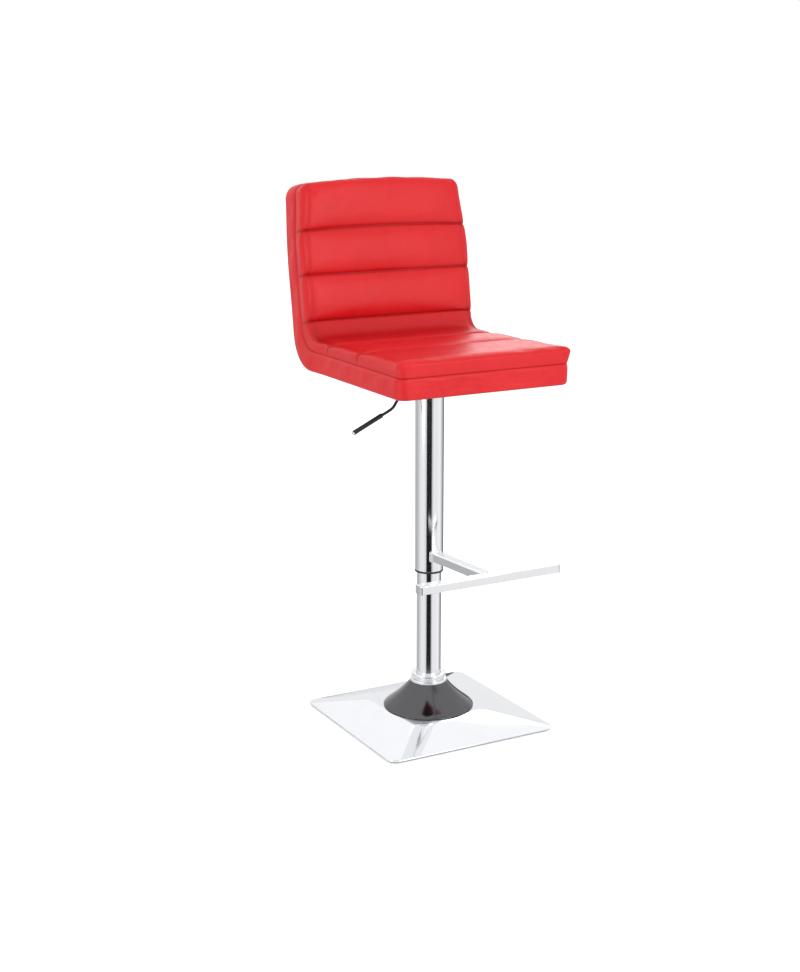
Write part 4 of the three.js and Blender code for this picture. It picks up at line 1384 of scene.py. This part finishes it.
@dataclass
class Base:
    """The pressed chrome plate, the dark cone on it and the collar round the column."""

    corner: float = 0.022
    wall: float = 0.0018
    lip: float = 0.0022
    hole: float = 0.045
    edge_top: float = 0.007
    cone_wall: float = 0.0022
    cone_hollow: float = 0.0042
    cone_edge: float = 0.0014
    collar_neck: float = 0.0060
    collar_top: float = 0.0026

    def plate(self) -> bpy.types.Object:
        """The pressing: rings that blend from the square outline to the round hole.

        A ring's reach is the outline's, scaled towards the hole by a share; its height rises
        with that share up to the cone's foot.

        Returns:
            The piece.
        """
        low, high = box_of("base_plate")
        half, foot_r = float(high[0]), reach_of("base_cone")
        shape = filleted([[-half, -half], [half, -half], [half, half], [-half, half]], self.corner, 12)
        outline = resampled(shape, 360, closed=True)
        reach = np.linalg.norm(outline, axis=1)
        foot = (half - foot_r) / (half - self.hole)
        rise = float(high[2]) - self.edge_top
        turn = np.linspace(0, QUARTER, 6)
        share = np.linspace(0, 1, 22)[1:]
        slope = share / foot
        top = self.edge_top + rise * np.where(slope < 1, 1.10 * slope - 0.10 * slope**2, 1)
        top = np.minimum(top, float(high[2]))
        flat = np.full_like(share, self.lip)
        skirt = [float(low[2]), float(low[2]) + 0.0008, self.edge_top - self.lip - 0.0006]
        inner = [self.edge_top - self.wall, self.edge_top - self.lip, skirt[0]]
        shares = np.concatenate([[0, 0, 0], np.zeros(6), share, share[::-1], [0, 0, 0]])
        inset = np.concatenate([[0.0004, 0, 0], self.lip * (1 - np.cos(turn)), flat, flat,
                                [self.lip + self.wall, self.wall + 0.0006, self.wall]])
        z = np.concatenate([skirt, self.edge_top - self.lip * (1 - np.sin(turn)), top,
                            top[::-1] - self.wall, inner])
        r = (reach[:, None] - inset) * (1 - shares) + self.hole * shares
        way = outline / reach[:, None]
        points = np.stack([way[:, :1] * r, way[:, 1:] * r, np.broadcast_to(z, r.shape)], axis=-1)
        piece = mesh_piece("base_pressing", points, grid_faces(*r.shape, True, True), Finish.PLATE_CHROME,
                           Body.BASE)
        return stand_for(piece, "chrome", "base_plate")

    def cone(self) -> bpy.types.Object:
        """The flared dark cover over the hub: r falls from the foot to the top along a hollow curve.

        Returns:
            The piece.
        """
        low, high = box_of("base_cone")
        foot, top = float(high[0]), reach_of("collar_ring")
        z0, z1 = float(low[2]), float(high[2])
        t = np.linspace(0, 1, 15)
        r = foot + (top - foot) * t - self.cone_hollow * np.sin(math.pi * t)
        z = z0 + self.cone_edge + (z1 - z0 - self.cone_edge) * t
        outer = np.stack([r, z], axis=1)[1:]
        inner = np.stack([r - self.cone_wall, z - 0.0004], axis=1)[::-1]
        section = np.concatenate([[[foot - 0.004, z0]], [[foot, z0]], outer, inner[:-1]])
        radii = np.concatenate([[0.0003, 0.0009], np.zeros(len(outer) - 1), [0.0005, 0.0003],
                                np.zeros(len(inner) - 2)])
        piece = turned("hub_cone", section, radii, Finish.DARK_CHROME, Body.BASE)
        return stand_for(piece, "dark_chrome", "base_cone")

    def collar(self) -> bpy.types.Object:
        """The two-tier collar where the column enters the cone.

        Returns:
            The piece.
        """
        low, high = box_of("collar_ring")
        z0, z1, foot = float(low[2]), float(high[2]), float(high[0])
        bore = reach_of("lower_tube") + 0.0004
        step = z0 + 0.3 * (z1 - z0)
        neck, top = foot - self.collar_neck, foot - self.collar_top
        section = [[bore, z0], [foot, z0], [foot, step], [neck, step + 0.0014], [neck, z1 - 0.0066],
                   [top, z1 - 0.0056], [top, z1], [bore, z1]]
        radii = [0.0003, 0.0008, 0.0018, 0.0008, 0.0008, 0.0016, 0.0020, 0.0006]
        piece = turned("column_collar", section, radii, Finish.CHROME, Body.BASE)
        return stand_for(piece, "chrome", "collar_ring")

    def build(self) -> None:
        """Makes the base's pieces."""
        for make in (self.plate, self.cone, self.collar):
            LOG.info("made %s", make().name)


@dataclass
class Column:
    """The two tubes and the black bush between them."""

    wall: float = 0.0015

    def tube(self, node: str, name: str, body: Body) -> bpy.types.Object:
        """A tube with rolled ends in place of a CAD tube.

        Args:
            node: The CAD tube.
            name: The piece's name.
            body: The body it rides on.

        Returns:
            The piece.
        """
        low, high = box_of(node)
        r, z0, z1 = float(high[0]), float(low[2]), float(high[2])
        section = [[r - self.wall, z0], [r, z0], [r, z1], [r - self.wall, z1]]
        piece = turned(name, section, 0.0007, Finish.CHROME, body, steps=128)
        return stand_for(piece, "chrome", node)

    def bush(self) -> bpy.types.Object:
        """The moulded bush at the cover tube's foot, with a rounded flange.

        Returns:
            The piece.
        """
        low, high = box_of("cover_bush")
        r, z0, z1 = float(high[0]), float(low[2]), float(high[2])
        bore = reach_of("lower_tube") + 0.0002
        fitted = r - self.wall - 0.0003
        flange = float(box_of("cover_tube")[0][2]) - 0.0003
        section = [[bore, z0], [r, z0], [r, flange], [fitted, flange], [fitted, z1], [bore, z1]]
        piece = turned("glide_bush", section, [0.0008, 0.0012, 0.0008, 0.0003, 0.0004, 0.0004],
                       Finish.BLACK_PLASTIC, Body.CARRIAGE)
        return stand_for(piece, "black_plastic", "cover_bush")

    def build(self) -> None:
        """Makes the column's pieces."""
        for piece in (self.tube("lower_tube", "column_tube", Body.BASE),
                      self.tube("cover_tube", "sliding_tube", Body.CARRIAGE), self.bush()):
            LOG.info("made %s", piece.name)


@dataclass
class Footrest:
    """The T-shaped footrest: a stem welded to the sliding tube, and a bar with end caps."""

    corner: float = 0.0022
    wall: float = 0.0016
    stem_end: float = -0.024

    def profile(self, width: float, height: float) -> Array:
        """A rounded rectangle about its middle, as (across, up)."""
        w, h = width / 2, height / 2
        return filleted([[-w, -h], [w, -h], [w, h], [-w, h]], self.corner, 4)

    def bar(self) -> bpy.types.Object:
        """The square-section bar, open at its ends.

        Returns:
            The piece.
        """
        low, high = box_of("footrest_bar")
        middle, size = (low + high) / 2, high - low
        outer = self.profile(size[1], size[2])
        inner = outer * (1 - 2 * self.wall / np.array([size[1], size[2]]))
        rows = np.array([-1, -1, -0.985, 0.985, 1, 1, 1, 0.985, -0.985, -1]) * size[0] / 2
        shrink = np.array([0.3, 0, 0, 0, 0, 0.3, 1, 1, 1, 1])[:, None, None]
        shape = outer[None] * (1 - shrink) + inner[None] * shrink
        rings = stacked(rows, shape) + middle
        piece = mesh_piece("footrest_crossbar", rings, grid_faces(len(rows), len(outer), True, True),
                           Finish.CHROME, Body.CARRIAGE)
        return stand_for(piece, "chrome", "footrest_bar")

    def cap(self, node: str, name: str) -> bpy.types.Object:
        """An end cap with a softly domed face.

        Args:
            node: The CAD cap.
            name: The piece's name.

        Returns:
            The piece.
        """
        low, high = box_of(node)
        middle, size = (low + high) / 2, high - low
        outline = self.profile(size[1], size[2])
        way = math.copysign(1.0, middle[0])
        x = np.array([-1, -0.6, 0.1, 0.6, 0.85, 0.97, 1.0]) * way * size[0] / 2
        scale = np.array([0.995, 1, 1, 0.985, 0.94, 0.8, 0.4])[:, None, None]
        rings = capped(stacked(x, outline[None] * scale) + middle)
        piece = mesh_piece(name, rings, grid_faces(len(rings), len(outline), False, True), Finish.CHROME,
                           Body.CARRIAGE)
        return stand_for(piece, "chrome", node)

    def stem_rings(self, stations: Array, grow: float = 0.0) -> Array:
        """The stem's outline at shares of its length, the last one cut to the tube's round wall.

        Args:
            stations: Shares from 0 at the bar to 1 at the tube.
            grow: How far the outline stands proud.

        Returns:
            The rings of points.
        """
        low, high = box_of("footrest_stem")
        bar_low, bar_high = box_of("footrest_bar")
        height = float(bar_high[2] - bar_low[2])
        shape = self.profile(float(high[0] - low[0]) + grow, height + grow)
        r = reach_of("cover_tube") + 0.0001
        y_bar, drop = float(low[1]), float(bar_low[2] - low[2])
        wall = -np.sqrt(r**2 - shape[:, 0] ** 2)
        t = stations[:, None]
        y = y_bar + (wall[None] - y_bar) * t
        z = (bar_low[2] + bar_high[2]) / 2 + shape[None, :, 1] - drop * (y - y_bar) / (self.stem_end - y_bar)
        return np.stack([np.broadcast_to(shape[None, :, 0], y.shape), y, z], axis=-1)

    def stem(self) -> bpy.types.Object:
        """The stem from the sliding tube down to the bar's height.

        Returns:
            The piece.
        """
        rings = capped(self.stem_rings(np.array([0, 0.004, 0.2, 0.4, 0.6, 0.8, 0.994, 1.0])))
        piece = mesh_piece("footrest_arm", rings, grid_faces(rings.shape[0], rings.shape[1], False, True),
                           Finish.CHROME, Body.CARRIAGE)
        return stand_for(piece, "chrome", "footrest_stem")

    def weld(self, name: str, share: float, radius: float) -> bpy.types.Object:
        """A plated weld bead round one end of the stem, rippled every sixth point.

        Args:
            name: The piece's name.
            share: The end's place along the stem, from 0 at the bar to 1 at the tube.
            radius: The bead's radius.

        Returns:
            The piece.
        """
        count = 220
        path = resampled(self.stem_rings(np.array([share]), 0.0012)[0], count, closed=True)
        ripple = 1 + 0.10 * np.sin(np.arange(count) * 2 * math.pi / 6)
        ripple = ripple + 0.12 * ripples(path[:, 0], path[:, 2], 0.012, 41)
        bead = swept(path, radius * ripple, 10, (0, 1, 0), closed=True)
        piece = mesh_piece(name, *bead, Finish.CHROME, Body.CARRIAGE)
        return stand_for(piece, "chrome")

    def build(self) -> None:
        """Makes the footrest's pieces."""
        pieces = [self.bar(), self.cap("footrest_cap_left", "bar_cap_left"),
                  self.cap("footrest_cap_right", "bar_cap_right"), self.stem(),
                  self.weld("tube_weld", 0.9985, 0.0019), self.weld("bar_weld", 0.0, 0.0011)]
        LOG.info("made %s", ", ".join(p.name for p in pieces))


@dataclass
class Lever:
    """The bent height lever with its eye, its plastic grip and its bright tip.

    The bend is its route in millimetres from the pin, as x and z.
    """

    radius: float = 0.0030
    eye_radius: float = 0.0046
    eye_half: float = 0.005
    grip: float = 0.0048
    grip_start: float = 0.66
    grip_rings: int = 11
    inner_end: float = 0.0015
    bend: tuple[tuple[float, float], ...] = (
        (-14, -0.5), (-26, -11), (-34, -29), (-45, -45), (-58, -53), (-80, -63), (-135, -89),
    )

    def path(self) -> Array:
        """Points along the lever, from over the release button to its outer end.

        Returns:
            The points.
        """
        low, high = box_of("lever_pin")
        pivot = (low + high) / 2
        outer = np.array(self.bend) * MM + pivot[[0, 2]]
        line = np.concatenate([[[self.inner_end, pivot[2]]], [pivot[[0, 2]]], outer])
        flat = smooth_path(line, 160)
        return np.stack([flat[:, 0], np.zeros(len(flat)), flat[:, 1]], axis=1)

    def rod(self) -> bpy.types.Object:
        """The bent rod and the eye that it turns on.

        Returns:
            The piece.
        """
        low, high = box_of("lever_pin")
        pivot = (low + high) / 2
        bore, rim, half = float(high[2] - low[2]) / 2 + 0.0001, self.eye_radius, self.eye_half
        section = filleted([[bore, -half], [rim, -half], [rim, half], [bore, half]], 0.0005, 3)
        steps = 32
        angle = np.linspace(0, 2 * math.pi, steps, endpoint=False)[:, None]
        across = np.broadcast_to(section[:, 1], (steps, len(section)))
        eye = np.stack([pivot[0] + section[:, 0] * np.cos(angle), across,
                        pivot[2] + section[:, 0] * np.sin(angle)], axis=-1)
        faces = grid_faces(steps, len(section), True, True)
        parts = joined(swept(self.path(), self.radius, 20), (eye, faces))
        piece = mesh_piece("height_lever", *parts, Finish.BLACK_STEEL, Body.LEVER)
        return stand_for(piece, "black_steel", "lever_rod")

    def sleeve(self) -> bpy.types.Object:
        """The grip: a sleeve with a rounded shoulder and shallow rings.

        Returns:
            The piece.
        """
        path, count = self.path(), 90
        path = resampled(path[int(self.grip_start * len(path)):], count)
        t = np.linspace(0, 1, count)
        shoulder = np.sqrt(np.clip(1 - (1 - np.clip(t / 0.05, 0, 1)) ** 2, 0, 1))
        rings = 0.00025 * (0.5 + 0.5 * np.cos(t * 2 * math.pi * self.grip_rings))
        rings = rings * ease((t - 0.1) / 0.1) * ease((0.95 - t) / 0.1)
        radius = self.radius + 0.0003 + (self.grip - self.radius - 0.0003) * shoulder - rings
        piece = mesh_piece("lever_sleeve", *swept(path, radius, 24), Finish.BLACK_PLASTIC, Body.LEVER)
        return stand_for(piece, "black_plastic", "lever_grip")

    def tip(self) -> bpy.types.Object:
        """The bright button at the lever's end.

        Returns:
            The piece.
        """
        path = self.path()
        heading = unit(path[-1:] - path[-4:-3])
        t = np.linspace(0, 1, 12)[:, None]
        line = path[-1:] + heading * (0.0003 + 0.0029 * t)
        radius = self.grip * 0.97 * np.sqrt(np.clip(1 - np.clip((t[:, 0] - 0.35) / 0.68, 0, 1) ** 2.4, 0, 1))
        piece = mesh_piece("lever_end_cap", *swept(line, radius, 24), Finish.CHROME, Body.LEVER)
        return stand_for(piece, "chrome", "lever_tip")

    def build(self) -> None:
        """Makes the lever's pieces."""
        for make in (self.rod, self.sleeve, self.tip):
            LOG.info("made %s", make().name)


# ---------------------------------------------------------------- carried-over nodes


class Works:
    """The CAD nodes that stay as they are, each with the finish of the real piece."""

    FINISHES: Mapping[Finish, tuple[str, ...]] = {
        Finish.RUBBER: ("floor_pad", "rubber_buffer"),
        Finish.STEEL: ("base_weight", "hub_sleeve", "column_end_plate", "bearing_race_lower",
                       "bearing_race_upper", "ball_cage", "thrust_washer", "piston_rod", "piston",
                       "rod_washer", "retaining_clip", "tube_top_ring", "lever_pin", "release_button",
                       "seat_bolt_", "seat_washer_", "t_nut_"),
        Finish.BLACK_STEEL: ("gas_cylinder", "taper_socket", "lever_bracket", "seat_plate"),
        Finish.BLACK_PLASTIC: ("cylinder_seal",),
        Finish.NYLON: ("guide_bush",),
        Finish.PLYWOOD: ("seat_shell",),
        Finish.FOAM: ("foam_core",),
    }

    def dress(self) -> None:
        """Gives each node that is still shown its finish, in its object's material slots."""
        for finish, names in self.FINISHES.items():
            for name, node in frame["nodes"].items():
                if name.startswith(names) and not node.hide_render:
                    if not node.material_slots:
                        node.data.materials.append(None)
                    for place in node.material_slots:
                        place.material = finish.material()
        LOG.info("dressed the carried-over nodes")


# ---------------------------------------------------------------- studio


@dataclass
class Studio:
    """A pale floor, a bright surround, soft lamps, grey flags and the camera.

    A lamp is its place, target, size and power. A flag on the floor is the azimuths of its two edges,
    in degrees from the front towards +X, and its grey.
    """

    camera_at: tuple[float, float, float] = (-1.66677, -2.91577, 1.33432)
    camera_turn: tuple[float, float, float] = (76.19, 0.0, -28.72)
    lens: float = 61.74
    daylight: float = 0.96
    floor_glow: float = 0.55
    floor_half: float = 14.0
    floor_level: float = -0.0004
    lamps: Mapping[str, tuple] = field(default_factory=lambda: {
        "key": ((0.9, -3.0, 1.7), (0, 0, 0.8), 1.5, 20),
        "side": ((-2.8, -0.6, 0.7), (0, 0, 0.75), 1.3, 6),
        "sheen": ((1.5, 1.9, 1.6), (0, 0, 0.8), 0.9, 5),
    })
    flags: tuple[tuple[tuple[float, float], float], ...] = (
        ((-51, -9), 0.012), ((-9, 2), 0.62), ((2, 46), 0.92), ((-66, -51), 0.80), ((-92, -66), 0.92),
        ((-112, -92), 0.88), ((-132, -112), 0.66), ((-158, -132), 0.50), ((-175, -158), 0.56),
        ((46, 70), 0.99), ((84, 104), 0.48), ((104, 150), 0.16),
    )

    def camera(self) -> None:
        """Sets the camera."""
        data = bpy.data.cameras.new("camera")
        data.lens, data.sensor_width = self.lens, 36
        camera = bpy.data.objects.new("camera", data)
        camera.location = self.camera_at
        camera.rotation_euler = Euler([math.radians(a) for a in self.camera_turn])
        bpy.context.scene.collection.objects.link(camera)
        bpy.context.scene.camera = camera

    def surround(self) -> None:
        """White to the camera and in reflections, and a softer grey-white as light."""
        world = bpy.data.worlds.new("surround")
        bpy.context.scene.world = world
        world.use_nodes = True
        tree = world.node_tree
        light = tree.nodes["Background"]
        light.inputs["Color"].default_value = rgb(0.97, 0.985, 1.0)
        light.inputs["Strength"].default_value = self.daylight
        seen = tree.nodes.new("ShaderNodeBackground")
        seen.inputs["Color"].default_value = rgb(1, 1, 1)
        seen.inputs["Strength"].default_value = 1.0
        ray, mix = tree.nodes.new("ShaderNodeLightPath"), tree.nodes.new("ShaderNodeMixShader")
        tree.links.new(ray.outputs["Is Diffuse Ray"], mix.inputs[0])
        tree.links.new(seen.outputs[0], mix.inputs[1])
        tree.links.new(light.outputs[0], mix.inputs[2])
        tree.links.new(mix.outputs[0], tree.nodes["World Output"].inputs["Surface"])

    def floor(self) -> None:
        """A large pale floor that glows a little to the camera, so that it fades into the surround."""
        mesh = bpy.data.meshes.new("floor")
        half, level = self.floor_half, self.floor_level
        mesh.from_pydata([(-half, -half, level), (half, -half, level), (half, half, level),
                          (-half, half, level)], [], [(0, 1, 2, 3)])
        g = Graph("pale_floor")
        seen = g.add("ShaderNodeLightPath").outputs["Is Camera Ray"]
        g.set(Base_Color=rgb(0.80, 0.80, 0.805), Roughness=0.8, Specular_IOR_Level=0.0,
              Emission_Color=rgb(1, 1, 1), Emission_Strength=g.maths("MULTIPLY", seen, self.floor_glow))
        mesh.materials.append(g.material)
        floor = bpy.data.objects.new("floor", mesh)
        bpy.context.scene.collection.objects.link(floor)

    def lamp(self, name: str, at: Sequence[float], target: Sequence[float], size: float,
             power: float) -> None:
        """A square soft lamp.

        Args:
            name: Its name.
            at: Its place.
            target: The point that it shines at.
            size: Its side, in metres.
            power: Its power, in watts.
        """
        data = bpy.data.lights.new(name, "AREA")
        data.size, data.energy = size, power
        lamp = bpy.data.objects.new(name, data)
        lamp.location = at
        lamp.rotation_euler = (Vector(target) - Vector(at)).to_track_quat("-Z", "Y").to_euler()
        lamp.visible_camera = False
        bpy.context.scene.collection.objects.link(lamp)

    def flag(self, azimuths: tuple[float, float], grey: float, reach: tuple[float, float] = (0.30, 7.0),
             rise: float = 0.0) -> None:
        """A grey sheet that only reflections see, a sector round the column.

        Args:
            azimuths: Where it starts and ends, in degrees from the front towards +X.
            grey: How light it is.
            reach: Its nearest and farthest distance from the column.
            rise: How much higher its far edge is than its near edge on the floor.
        """
        name = f"floor_flag_{len(bpy.context.scene.objects)}"
        a, r = np.meshgrid(np.radians(np.linspace(*azimuths, 7)), np.array(reach), indexing="ij")
        level = 0.0015 + rise * (np.arange(2)[None] + 0 * r)
        points = np.stack([r * np.sin(a), -r * np.cos(a), level], axis=-1)
        mesh = bpy.data.meshes.new(name)
        mesh.from_pydata(points.reshape(-1, 3).tolist(), [], grid_faces(7, 2, False, False).tolist())
        g = Graph(name)
        g.set(Base_Color=rgb(0, 0, 0), Roughness=1.0, Specular_IOR_Level=0.0,
              Emission_Color=rgb(grey, grey, grey), Emission_Strength=1.0)
        mesh.materials.append(g.material)
        flag = bpy.data.objects.new(name, mesh)
        flag.visible_camera = flag.visible_diffuse = flag.visible_shadow = False
        flag.visible_transmission = flag.visible_volume_scatter = False
        bpy.context.scene.collection.objects.link(flag)

    def build(self) -> None:
        """Sets up the studio."""
        self.camera()
        self.surround()
        self.floor()
        for name, settings in self.lamps.items():
            self.lamp(name, *settings)
        for edges, grey in self.flags:
            self.flag(edges, grey)
        # A wall behind the stool gives the footrest's upper faces their tone.
        self.flag((95, 215), 0.88, reach=(7.0, 7.2), rise=3.6)
        bpy.context.scene.view_settings.view_transform = "Standard"


def main() -> None:
    """Builds the stool's looks, sub-assembly by sub-assembly."""
    logging.basicConfig(level=logging.INFO, format="%(name)s: %(message)s")
    Studio().build()
    for part in (Base(), Column(), Footrest(), Lever(), Upholstery()):
        part.build()
    Works().dress()


if __name__ == "__main__":
    main()
